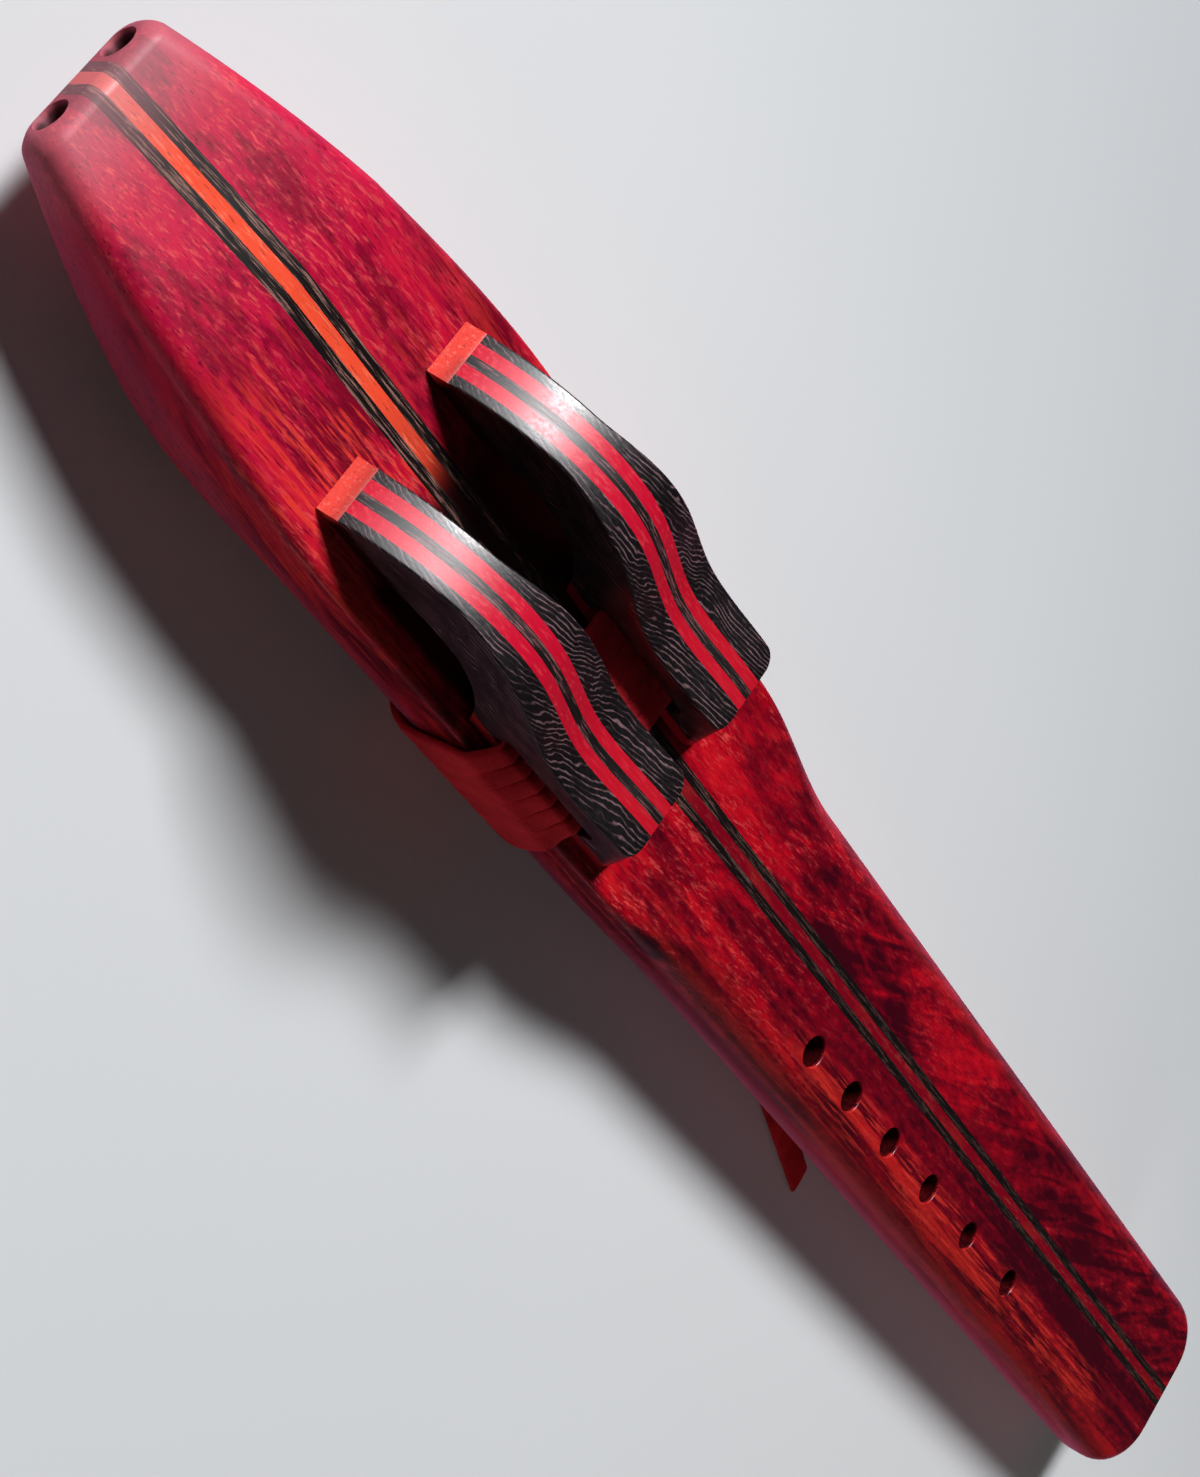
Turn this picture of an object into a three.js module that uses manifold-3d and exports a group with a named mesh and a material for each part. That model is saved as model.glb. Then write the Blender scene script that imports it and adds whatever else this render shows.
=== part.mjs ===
// Double flute: a melody tube and a drone tube joined along three strips, with a bird-like
// block tied over each sound hole by one suede lace. Millimetres, +X mouth to foot,
// +Y to the drone tube, +Z up. The part lies on the turns of its lace.
import * as THREE from 'three';
import { mergeVertices } from 'three/addons/utils/BufferGeometryUtils.js';
import Module from 'manifold-3d';

// Body: lengths are measured from the mouth, half widths from the centre plane.
const LENGTH = 440;
const BODY_HEIGHT = 25;
const MOUTH_HALF_WIDTH = 11.5;
const SHOULDER_HALF_WIDTH = 24;
const WAIST_HALF_WIDTH = 22.9;
const FOOT_HALF_WIDTH = 24.8;
const SHOULDER_AT = 78;
const HIP_AT = 150;
const WAIST_AT = 190;
const TAPER_FULLNESS = 2.05;

// Mouth: the top face dips, the belly rises and the end is flat with rounded edges.
const DIP_FROM = 34;
const MOUTH_DIP = 6.4;
const DIP_CURVE = 1.13;
const BELLY_RISE_FROM = 60;
const MOUTH_BELLY_RISE = 10.1;
const BELLY_RISE_CURVE = 1.5;
const NOSE_EDGE = 1.3;
const NOSE_CORNER = 2;

// Edge rounding of the body along its length.
const MOUTH_TOP_ROUND = 3.6;
const BLOCK_TOP_ROUND = 1;
const FOOT_TOP_ROUND = 9;
const MOUTH_BELLY_ROUND = 3.8;
const BLOCK_BELLY_ROUND = 14.5;
const FOOT_BELLY_ROUND = 13;
const ROUND_CHANGE_FROM = 34;
const ROUND_CHANGE_TO = 74;
const FOOT_CORNER = 5;
const FOOT_CORNER_RUN = 10;
const FOOT_TOP_CORNER = 8;
const FOOT_EDGE = 2.2;
const TOP_ROUND_SHARE = 0.4;
const LEAST_FLANK = 0.8;

// Strips glued between the two tubes.
const CENTRE_STRIP_HALF = 1.09;
const DARK_STRIP = 1.87;
const GLUE_LINE = 0.1;

// Air passages, the same in both tubes but for the finger holes.
const TUBE_OFFSET = 12.7;
const BORE = 14;
const BORE_FROM = 67;
const CHAMBER_BORE = 12;
const CHAMBER_FROM = 29;
const CHAMBER_TO = 62;
const BLOW_HOLE = 5;
const BLOW_HOLE_OFFSET = 6.5;
const BLOW_HOLE_DEPTH = 10.7;
const EXIT_HOLE_LENGTH = 3.2;
const FLUE_WIDTH = 6;
const FLUE_DEPTH = 1;
const SOUND_HOLE_LENGTH = 6;
const SPLITTING_EDGE_UNDERCUT = 5;

// Finger holes of the melody tube: each space is wider than the one before it.
const FINGER_HOLES = 6;
const FINGER_HOLE = 6.4;
const FIRST_FINGER_HOLE_AT = 220.6;
const FIRST_FINGER_SPACE = 18.8;
const FINGER_SPACE_GROWTH = 1.09;

// Block: lengths from its toe, heights above the top face of the body.
const BLOCK_AT = 56.9;
const BLOCK_LENGTH = 86.5;
const BLOCK_SEAT = 0.2;
const TOE_RUN = 2;
const PAD_THICKNESS = 3;
const HUMP_HEIGHT = 19;
const HUMP_AT = 29.5;
const HUMP_FULLNESS = 11.5;
const FRONT_LEAN = 6;
const FRONT_LIFT = 9;
const SADDLE_HEIGHT = 12.1;
const SADDLE_AT = 58.5;
const BACK_FULLNESS = 10.5;
const TAIL_HEIGHT = 13.4;
const TAIL_AT = 76.8;
const TAIL_FULLNESS = 7.5;
const HEEL_HEIGHT = 0.8;
const NECK_HALF_WIDTH = 4.7;
const NECK_TO = 16;
const NECK_FULLNESS = 5;
const FLARE_HALF_WIDTH = 8.3;
const FLARE_AT = 50;
const FLARE_FULLNESS = 17;
const MIDDLE_LAMINATE_HALF = 0.8;
const RED_LAMINATE = 2.15;

// Arch under the block, over the sound hole.
const ARCH_FROM = 12.5;
const ARCH_TO = 44;
const ARCH_CREST_AT = 29;
const ARCH_HEIGHT = 8.6;
const ARCH_FRONT_RUN = 5.5;
const ARCH_FRONT_RISE = 2;
const ARCH_CREST_FRONT = 4.5;
const ARCH_CREST_BACK = 7;
const ARCH_BACK_RUN = 4;
const ARCH_BACK_RISE = 4.5;

// Lace: turns lie side by side in the slots and fan out under the body.
const TURNS = 6;
const LACE_WIDTH = 3.4;
const LACE_THICKNESS = 1.8;
const LACE_REST = 0.3;
const TURN_GAP = 0.5;
const FAN_PITCH = 6.9;
const FAN_SHIFT = 1.2;
const SLOT_MIDDLE_AT = 60.4;
const SLOT_HEIGHT = 4.1;
const SLOT_CORNER = 1.4;
const SLOT_CLEARANCE = 0.4;
const BLOCK_TRAVEL = 1.5;

// Knot over the turns on the drone side, and the end of the lace that lies free.
const KNOT_AT = 114;
const KNOT_LENGTH = 10;
const KNOT_WIDTH = 6;
const KNOT_THICKNESS = 4.2;
const KNOT_ANGLE = 46;
const END_WIDTH = 6;
const END_THICKNESS = 1.6;
const END_CLEAR = 0.1;
const END_TIP_AT = 278;
const END_TIP_OFFSET = -24.4;
const END_SLOPE = 0.305;
const END_LANDING_AT = 130;
const END_TIP_SLANT = 1.25;
const END_START_DROP = 1.3;
const END_DROP_EASE = 4;

// Smoothness of the curves.
const CORNER_STEPS = 5;
const BORE_SIDES = 28;
const CURVE_STEPS = 9;
const STATION_STEP = 9;
const END_STATIONS = 5;
const MERGE_TOLERANCE = 1e-4;
const OVERCUT = 5;
const CREASE_STEPS = 3;
const FLANK_STEPS = 2;
const BELLY_STEPS = 7;
const KNOT_SIDES = 12;
const EDGE_ROUNDING = 0.5;

const wasm = await Module();
wasm.setup();

const X_MOUTH = -LENGTH / 2;
const X_FOOT = LENGTH / 2;
const Z_BELLY = LACE_THICKNESS + LACE_REST;
const Z_TOP = Z_BELLY + BODY_HEIGHT;
const Z_SPLIT = Z_BELLY + BODY_HEIGHT / 2;
const STRIPS_HALF = CENTRE_STRIP_HALF + DARK_STRIP;
const Z_BLOCK = Z_TOP + BLOCK_SEAT;
const HALF_GLUE = GLUE_LINE / 2;

// Satin timber and suede finishes.
const timber = (color, roughness) => new THREE.MeshStandardMaterial({ color, roughness, metalness: 0 });
const RED_WOOD = timber(0xa8122a, 0.4);
const CENTRE_RED = timber(0xe2402c, 0.4);
const DARK_WOOD = timber(0x2a1d20, 0.45);
const BLOCK_RED = timber(0xd11a34, 0.4);
const PAD_RED = timber(0xd83a34, 0.45);
const SUEDE = timber(0x7a1424, 0.95);

/** Closed manifold of a closed three.js geometry. */
function solid(geometry) {
  const bare = geometry.clone();
  bare.deleteAttribute('normal');
  bare.deleteAttribute('uv');
  const welded = mergeVertices(bare, MERGE_TOLERANCE);
  const triVerts = new Uint32Array(welded.index.array);
  const vertProperties = new Float32Array(welded.attributes.position.array);
  return new wasm.Manifold(new wasm.Mesh({ numProp: 3, vertProperties, triVerts }));
}

/** Named mesh of a manifold. */
function piece(name, manifold, material) {
  const data = manifold.getMesh();
  const geometry = new THREE.BufferGeometry();
  geometry.setAttribute('position', new THREE.BufferAttribute(new Float32Array(data.vertProperties), 3));
  geometry.setIndex(new THREE.BufferAttribute(new Uint32Array(data.triVerts), 1));
  geometry.computeVertexNormals();
  const mesh = new THREE.Mesh(geometry, material);
  mesh.name = name;
  return mesh;
}

/** Box between two corners. */
function block(low, high) {
  const size = high.clone().sub(low);
  const middle = low.clone().add(high).multiplyScalar(0.5);
  return solid(new THREE.BoxGeometry(size.x, size.y, size.z).translate(middle.x, middle.y, middle.z));
}

/** Round bar along X. */
function barAlongX(diameter, from, to, y, z) {
  const bar = new THREE.CylinderGeometry(diameter / 2, diameter / 2, to - from, BORE_SIDES);
  bar.rotateZ(Math.PI / 2);
  return solid(bar.translate((from + to) / 2, y, z));
}

/** Side profile, drawn in X and Z, carried across the body from one Y to another. */
function acrossY(shape, fromY, toY) {
  const geometry = new THREE.ExtrudeGeometry(shape, {
    depth: toY - fromY,
    bevelEnabled: false,
    curveSegments: CURVE_STEPS,
  });
  geometry.rotateX(Math.PI / 2);
  return solid(geometry.translate(0, toY, 0));
}

/** Plan, drawn in X and Y, carried up from one Z to another. */
function upZ(shape, fromZ, toZ) {
  const geometry = new THREE.ExtrudeGeometry(shape, {
    depth: toZ - fromZ,
    bevelEnabled: false,
    curveSegments: CURVE_STEPS,
  });
  return solid(geometry.translate(0, 0, fromZ));
}

const mix = (a, b, t) => a + (b - a) * t;
const share = (value, from, to) => THREE.MathUtils.clamp((value - from) / (to - from), 0, 1);
const ease = (value, from, to) => THREE.MathUtils.smoothstep(value, from, to);

/** Half width of the body before its ends are rounded. */
function halfWidth(at) {
  if (at < SHOULDER_AT) {
    const left = Math.pow(1 - share(at, 0, SHOULDER_AT), TAPER_FULLNESS);
    return mix(SHOULDER_HALF_WIDTH, MOUTH_HALF_WIDTH, left);
  }
  if (at < WAIST_AT) {
    return mix(SHOULDER_HALF_WIDTH, WAIST_HALF_WIDTH, ease(at, HIP_AT, WAIST_AT));
  }
  return mix(WAIST_HALF_WIDTH, FOOT_HALF_WIDTH, share(at, WAIST_AT, LENGTH));
}

/** Value that changes from mouth to blocks and again from blocks to foot. */
function along(at, mouth, blocks, foot) {
  const front = mix(mouth, blocks, ease(at, ROUND_CHANGE_FROM, ROUND_CHANGE_TO));
  return mix(front, foot, ease(at, HIP_AT, WAIST_AT));
}

/** How far a rounded end has fallen back at a distance from its tip. */
function fallBack(distance, depth, amount) {
  const rest = 1 - share(distance, 0, depth);
  return amount * (1 - Math.sqrt(1 - rest * rest));
}

/** Cross-section ring of the body at a distance from the mouth. */
function bodyRing(at) {
  const dip = MOUTH_DIP * Math.pow(1 - share(at, 0, DIP_FROM), DIP_CURVE);
  const rise = MOUTH_BELLY_RISE * Math.pow(1 - share(at, 0, BELLY_RISE_FROM), BELLY_RISE_CURVE);
  const nose = fallBack(at, NOSE_EDGE, NOSE_EDGE);
  const foot = fallBack(LENGTH - at, FOOT_EDGE, FOOT_EDGE);
  const footCorner = (amount) => fallBack(LENGTH - at, FOOT_CORNER_RUN, amount);
  const corner = fallBack(at, NOSE_CORNER, NOSE_CORNER) + footCorner(FOOT_CORNER);
  const half = halfWidth(at) - corner;
  const top = Z_TOP - dip - nose - foot;
  const bottom = Z_BELLY + rise + nose + foot;
  const tall = top - bottom;
  const edgeRound = along(at, MOUTH_TOP_ROUND, BLOCK_TOP_ROUND, FOOT_TOP_ROUND);
  const topRound = Math.min(edgeRound, tall * TOP_ROUND_SHARE);
  const topWide = topRound + footCorner(FOOT_TOP_CORNER);
  const bellyRound = along(at, MOUTH_BELLY_ROUND, BLOCK_BELLY_ROUND, FOOT_BELLY_ROUND);
  const lowRound = Math.min(bellyRound, tall - topRound - LEAST_FLANK);
  const ring = [];
  const arc = (y, z, wide, high, from) => {
    for (let step = 0; step <= CORNER_STEPS; step += 1) {
      const turn = from + (Math.PI / 2) * (step / CORNER_STEPS);
      ring.push(new THREE.Vector3(X_MOUTH + at, y + wide * Math.cos(turn), z + high * Math.sin(turn)));
    }
  };
  arc(half - topWide, top - topRound, topWide, topRound, 0);
  arc(topWide - half, top - topRound, topWide, topRound, Math.PI / 2);
  arc(lowRound - half, bottom + lowRound, lowRound, lowRound, Math.PI);
  arc(half - lowRound, bottom + lowRound, lowRound, lowRound, -Math.PI / 2);
  return ring;
}

/** Skin through a row of rings, closed at both ends. */
function loft(rings) {
  const count = rings[0].length;
  const points = rings.flat();
  const first = points.length;
  const faces = [];
  for (let row = 0; row + 1 < rings.length; row += 1) {
    for (let column = 0; column < count; column += 1) {
      const a = row * count + column;
      const b = row * count + ((column + 1) % count);
      faces.push(a, b, b + count, a, b + count, a + count);
    }
  }
  for (const row of [0, rings.length - 1]) {
    const middle = new THREE.Vector3();
    rings[row].forEach((point) => middle.add(point));
    points.push(middle.divideScalar(count));
    const hub = row === 0 ? first : first + 1;
    for (let column = 0; column < count; column += 1) {
      const a = row * count + column;
      const b = row * count + ((column + 1) % count);
      faces.push(...(row === 0 ? [hub, b, a] : [hub, a, b]));
    }
  }
  const geometry = new THREE.BufferGeometry().setFromPoints(points);
  geometry.setIndex(faces);
  return geometry;
}

/** Stations of the body rings: close together where an end is rounded. */
function bodyStations() {
  const stations = [];
  const roundedEnd = (depth) => {
    const steps = [];
    for (let step = 0; step <= END_STATIONS; step += 1) {
      steps.push(depth * (1 - Math.cos((Math.PI / 2) * (step / END_STATIONS))));
    }
    return steps;
  };
  stations.push(...roundedEnd(NOSE_CORNER));
  const plainTo = LENGTH - FOOT_CORNER_RUN;
  for (let at = NOSE_CORNER + STATION_STEP; at < WAIST_AT; at += STATION_STEP) {
    stations.push(at);
  }
  stations.push(WAIST_AT, mix(WAIST_AT, plainTo, 0.5));
  stations.push(...roundedEnd(FOOT_CORNER_RUN).map((step) => LENGTH - step).reverse());
  return stations;
}

/** Air passage from the blow hole to the chamber, swinging out to the tube's axis. */
function windway(side) {
  const mouth = new THREE.Vector3(X_MOUTH - OVERCUT, side * BLOW_HOLE_OFFSET, Z_TOP - BLOW_HOLE_DEPTH);
  const nose = mouth.clone().setX(X_MOUTH + NOSE_CORNER + OVERCUT);
  const chamber = new THREE.Vector3(X_MOUTH + CHAMBER_FROM, side * TUBE_OFFSET, Z_SPLIT);
  const inside = chamber.clone().setX(chamber.x + CHAMBER_BORE / 2);
  const hole = new THREE.Shape();
  hole.absarc(0, 0, BLOW_HOLE / 2, 0, Math.PI * 2);
  const extrudePath = new THREE.CatmullRomCurve3([mouth, nose, chamber, inside]);
  const steps = CURVE_STEPS * 2;
  return solid(new THREE.ExtrudeGeometry(hole, { steps, curveSegments: CURVE_STEPS, extrudePath }));
}

/** Sound hole with a vertical front wall and an undercut splitting edge. */
function soundHole(y) {
  const from = X_MOUTH + BLOCK_AT + ARCH_FROM;
  const shape = new THREE.Shape();
  shape.moveTo(from, Z_SPLIT);
  shape.lineTo(from + SOUND_HOLE_LENGTH + SPLITTING_EDGE_UNDERCUT, Z_SPLIT);
  shape.lineTo(from + SOUND_HOLE_LENGTH, Z_TOP - FLUE_DEPTH / 2);
  shape.lineTo(from + SOUND_HOLE_LENGTH, Z_TOP + OVERCUT);
  shape.lineTo(from, Z_TOP + OVERCUT);
  shape.closePath();
  return acrossY(shape, y - FLUE_WIDTH / 2, y + FLUE_WIDTH / 2);
}

/** Everything that is hollow in one tube. */
function airPassages(side) {
  const y = side * TUBE_OFFSET;
  const flueHalf = FLUE_WIDTH / 2;
  const exitTo = X_MOUTH + CHAMBER_TO;
  const exitFrom = exitTo - EXIT_HOLE_LENGTH;
  const flueTo = X_MOUTH + BLOCK_AT + ARCH_FROM + HALF_GLUE;
  const exitLow = new THREE.Vector3(exitFrom, y - flueHalf, Z_SPLIT);
  const exitHigh = new THREE.Vector3(exitTo, y + flueHalf, Z_TOP + OVERCUT);
  const flueLow = new THREE.Vector3(exitFrom, y - flueHalf, Z_TOP - FLUE_DEPTH);
  const flueHigh = new THREE.Vector3(flueTo, y + flueHalf, Z_TOP + OVERCUT);
  return windway(side)
    .add(barAlongX(CHAMBER_BORE, X_MOUTH + CHAMBER_FROM, exitTo, y, Z_SPLIT))
    .add(barAlongX(BORE, X_MOUTH + BORE_FROM, X_FOOT + OVERCUT, y, Z_SPLIT))
    .add(block(exitLow, exitHigh))
    .add(block(flueLow, flueHigh))
    .add(soundHole(y));
}

/** Finger holes down into the melody bore. */
function fingerHoles(y) {
  let holes = null;
  let at = FIRST_FINGER_HOLE_AT;
  let space = FIRST_FINGER_SPACE;
  for (let hole = 0; hole < FINGER_HOLES; hole += 1) {
    const drill = new THREE.CylinderGeometry(FINGER_HOLE / 2, FINGER_HOLE / 2, BODY_HEIGHT, BORE_SIDES);
    drill.rotateX(Math.PI / 2);
    const bored = solid(drill.translate(X_MOUTH + at, y, Z_SPLIT + BODY_HEIGHT / 2));
    holes = holes === null ? bored : holes.add(bored);
    at += space;
    space *= FINGER_SPACE_GROWTH;
  }
  return holes;
}

/** Part of the body between two heights and two distances from the centre plane. */
function bodyCell(fromY, toY, fromZ, toZ) {
  const low = new THREE.Vector3(X_MOUTH - OVERCUT, Math.min(fromY, toY), fromZ);
  const high = new THREE.Vector3(X_FOOT + OVERCUT, Math.max(fromY, toY), toZ);
  return block(low, high);
}

/** Tubes and strips: one shaped blank, cut along its glue lines. */
function buildBody() {
  const group = new THREE.Group();
  group.name = 'flute_body';
  const blank = solid(loft(bodyStations().map(bodyRing)));
  const low = Z_BELLY - OVERCUT;
  const high = Z_TOP + OVERCUT;
  const outside = SHOULDER_HALF_WIDTH + FOOT_HALF_WIDTH;
  for (const [label, side] of [['melody', -1], ['drone', 1]]) {
    let air = airPassages(side);
    if (side < 0) {
      air = air.add(fingerHoles(side * TUBE_OFFSET));
    }
    const inner = side * (STRIPS_HALF + HALF_GLUE);
    const upper = bodyCell(inner, side * outside, Z_SPLIT + HALF_GLUE, high);
    const lower = bodyCell(inner, side * outside, low, Z_SPLIT - HALF_GLUE);
    group.add(piece(`${label}_tube_upper`, blank.intersect(upper).subtract(air), RED_WOOD));
    group.add(piece(`${label}_tube_lower`, blank.intersect(lower).subtract(air), RED_WOOD));
    const darkFrom = side * (CENTRE_STRIP_HALF + HALF_GLUE);
    const dark = bodyCell(darkFrom, side * (STRIPS_HALF - HALF_GLUE), low, high);
    group.add(piece(`${label}_dark_strip`, blank.intersect(dark), DARK_WOOD));
  }
  const centre = bodyCell(HALF_GLUE - CENTRE_STRIP_HALF, CENTRE_STRIP_HALF - HALF_GLUE, low, high);
  group.add(piece('centre_strip', blank.intersect(centre), CENTRE_RED));
  return group;
}

const PITCH = LACE_WIDTH + TURN_GAP;
const BUNDLE = TURNS * PITCH - TURN_GAP;
const SLOT_LENGTH = BUNDLE + 2 * (BLOCK_TRAVEL + SLOT_CLEARANCE);

/** Side profile of a block from its toe at the origin, with its arch and its lace slot. */
function blockProfile() {
  const shape = new THREE.Shape();
  shape.moveTo(0, 0);
  shape.lineTo(ARCH_FROM, 0);
  shape.bezierCurveTo(
    ARCH_FROM + ARCH_FRONT_RUN,
    ARCH_FRONT_RISE,
    ARCH_CREST_AT - ARCH_CREST_FRONT,
    ARCH_HEIGHT,
    ARCH_CREST_AT,
    ARCH_HEIGHT,
  );
  shape.bezierCurveTo(
    ARCH_CREST_AT + ARCH_CREST_BACK,
    ARCH_HEIGHT,
    ARCH_TO - ARCH_BACK_RUN,
    ARCH_BACK_RISE,
    ARCH_TO,
    0,
  );
  shape.lineTo(BLOCK_LENGTH, 0);
  shape.lineTo(BLOCK_LENGTH, HEEL_HEIGHT);
  shape.lineTo(TAIL_AT, TAIL_HEIGHT);
  shape.bezierCurveTo(
    TAIL_AT - TAIL_FULLNESS,
    TAIL_HEIGHT,
    SADDLE_AT + TAIL_FULLNESS,
    SADDLE_HEIGHT,
    SADDLE_AT,
    SADDLE_HEIGHT,
  );
  shape.bezierCurveTo(
    SADDLE_AT - BACK_FULLNESS,
    SADDLE_HEIGHT,
    HUMP_AT + BACK_FULLNESS,
    HUMP_HEIGHT,
    HUMP_AT,
    HUMP_HEIGHT,
  );
  shape.bezierCurveTo(
    HUMP_AT - HUMP_FULLNESS,
    HUMP_HEIGHT,
    TOE_RUN + FRONT_LEAN,
    PAD_THICKNESS + FRONT_LIFT,
    TOE_RUN,
    PAD_THICKNESS,
  );
  shape.closePath();
  return shape;
}

/** Lace slot of a block, drawn in X and Z from the block's toe. */
function slotProfile() {
  const from = SLOT_MIDDLE_AT - SLOT_LENGTH / 2;
  const to = SLOT_MIDDLE_AT + SLOT_LENGTH / 2;
  const roof = PAD_THICKNESS + SLOT_HEIGHT;
  const slot = new THREE.Shape();
  slot.moveTo(from, PAD_THICKNESS);
  slot.lineTo(to, PAD_THICKNESS);
  slot.lineTo(to, roof - SLOT_CORNER);
  slot.quadraticCurveTo(to, roof, to - SLOT_CORNER, roof);
  slot.lineTo(from + SLOT_CORNER, roof);
  slot.quadraticCurveTo(from, roof, from, roof - SLOT_CORNER);
  slot.closePath();
  return slot;
}

/** Plan of a block: a narrow neck that flares like a bottle towards its tail. */
function blockPlan() {
  const plan = new THREE.Shape();
  plan.moveTo(-OVERCUT, -NECK_HALF_WIDTH);
  plan.lineTo(NECK_TO, -NECK_HALF_WIDTH);
  plan.bezierCurveTo(
    NECK_TO + NECK_FULLNESS,
    -NECK_HALF_WIDTH,
    FLARE_AT - FLARE_FULLNESS,
    -FLARE_HALF_WIDTH,
    FLARE_AT,
    -FLARE_HALF_WIDTH,
  );
  plan.lineTo(BLOCK_LENGTH + OVERCUT, -FLARE_HALF_WIDTH);
  plan.lineTo(BLOCK_LENGTH + OVERCUT, FLARE_HALF_WIDTH);
  plan.lineTo(FLARE_AT, FLARE_HALF_WIDTH);
  plan.bezierCurveTo(
    FLARE_AT - FLARE_FULLNESS,
    FLARE_HALF_WIDTH,
    NECK_TO + NECK_FULLNESS,
    NECK_HALF_WIDTH,
    NECK_TO,
    NECK_HALF_WIDTH,
  );
  plan.lineTo(-OVERCUT, NECK_HALF_WIDTH);
  plan.closePath();
  return plan;
}

/** Five laminates on two pads, shaped as one and cut along their glue lines. */
function buildBlock(label, side) {
  const group = new THREE.Group();
  group.name = `${label}_block`;
  group.position.set(X_MOUTH + BLOCK_AT, side * TUBE_OFFSET, Z_BLOCK);
  const half = FLARE_HALF_WIDTH + OVERCUT;
  const far = BLOCK_LENGTH + OVERCUT;
  const tall = HUMP_HEIGHT + OVERCUT;
  const plan = upZ(blockPlan(), -OVERCUT, tall);
  const slot = acrossY(slotProfile(), -half, half);
  const whole = acrossY(blockProfile(), -half, half).intersect(plan).subtract(slot);
  const cell = (fromX, toX, fromY, toY, fromZ, toZ) => whole.intersect(
    block(new THREE.Vector3(fromX, fromY, fromZ), new THREE.Vector3(toX, toY, toZ)),
  );
  const padTop = PAD_THICKNESS - HALF_GLUE;
  const laminateFrom = PAD_THICKNESS + HALF_GLUE;
  const redTo = MIDDLE_LAMINATE_HALF + RED_LAMINATE;
  const add = (name, manifold, material) => group.add(piece(`${label}_${name}`, manifold, material));
  add('front_pad', cell(-OVERCUT, ARCH_CREST_AT, -half, half, -OVERCUT, padTop), PAD_RED);
  add('rear_pad', cell(ARCH_CREST_AT, far, -half, half, -OVERCUT, padTop), PAD_RED);
  const laminate = (fromY, toY) => cell(
    -OVERCUT, far, fromY + HALF_GLUE, toY - HALF_GLUE, laminateFrom, tall,
  );
  add('left_dark_laminate', laminate(-half, -redTo), DARK_WOOD);
  add('left_red_laminate', laminate(-redTo, -MIDDLE_LAMINATE_HALF), BLOCK_RED);
  add('middle_laminate', laminate(-MIDDLE_LAMINATE_HALF, MIDDLE_LAMINATE_HALF), DARK_WOOD);
  add('right_red_laminate', laminate(MIDDLE_LAMINATE_HALF, redTo), BLOCK_RED);
  add('right_dark_laminate', laminate(redTo, half), DARK_WOOD);
  return group;
}

const LACE_OFF = LACE_REST + LACE_THICKNESS / 2;
const LACE_MIDDLE_AT = BLOCK_AT + SLOT_MIDDLE_AT;

/** Stations of one turn in Y and Z with their outward directions, from the drone flank round to it. */
function turnStations() {
  const half = SHOULDER_HALF_WIDTH;
  const padEdge = TUBE_OFFSET + FLARE_HALF_WIDTH;
  const padTop = Z_BLOCK + PAD_THICKNESS;
  const creaseY = half - BLOCK_TOP_ROUND;
  const creaseZ = Z_TOP - BLOCK_TOP_ROUND;
  const bellyY = half - BLOCK_BELLY_ROUND;
  const bellyZ = Z_BELLY + BLOCK_BELLY_ROUND;
  const lean = new THREE.Vector2(padTop - Z_TOP, half - padEdge).angle();
  const stations = [];
  const arc = (y, z, radius, from, to, steps) => {
    for (let step = 0; step <= steps; step += 1) {
      const turn = mix(from, to, step / steps);
      const out = new THREE.Vector2(Math.cos(turn), Math.sin(turn));
      stations.push({ out, at: out.clone().multiplyScalar(radius + LACE_OFF).add(new THREE.Vector2(y, z)) });
    }
  };
  const straight = (from, to, out, steps) => {
    for (let step = 1; step < steps; step += 1) {
      const at = from.clone().lerp(to, step / steps).addScaledVector(out, LACE_OFF);
      stations.push({ out, at });
    }
  };
  const right = new THREE.Vector2(1, 0);
  const left = new THREE.Vector2(-1, 0);
  const up = new THREE.Vector2(0, 1);
  const down = new THREE.Vector2(0, -1);
  straight(new THREE.Vector2(half, bellyZ), new THREE.Vector2(half, creaseZ), right, FLANK_STEPS);
  arc(creaseY, creaseZ, BLOCK_TOP_ROUND, 0, lean, CREASE_STEPS);
  arc(padEdge, padTop, 0, lean, Math.PI / 2, CREASE_STEPS);
  straight(new THREE.Vector2(padEdge, padTop), new THREE.Vector2(-padEdge, padTop), up, FLANK_STEPS);
  arc(-padEdge, padTop, 0, Math.PI / 2, Math.PI - lean, CREASE_STEPS);
  const slotEnd = stations.length - 1;
  arc(-creaseY, creaseZ, BLOCK_TOP_ROUND, Math.PI - lean, Math.PI, CREASE_STEPS);
  straight(new THREE.Vector2(-half, creaseZ), new THREE.Vector2(-half, bellyZ), left, FLANK_STEPS);
  arc(-bellyY, bellyZ, BLOCK_BELLY_ROUND, Math.PI, 1.5 * Math.PI, BELLY_STEPS);
  const widest = stations.length - 1;
  straight(new THREE.Vector2(-bellyY, Z_BELLY), new THREE.Vector2(bellyY, Z_BELLY), down, CREASE_STEPS);
  arc(bellyY, bellyZ, BLOCK_BELLY_ROUND, 1.5 * Math.PI, 2 * Math.PI, BELLY_STEPS);
  return { stations, slotEnd, widest };
}

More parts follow.
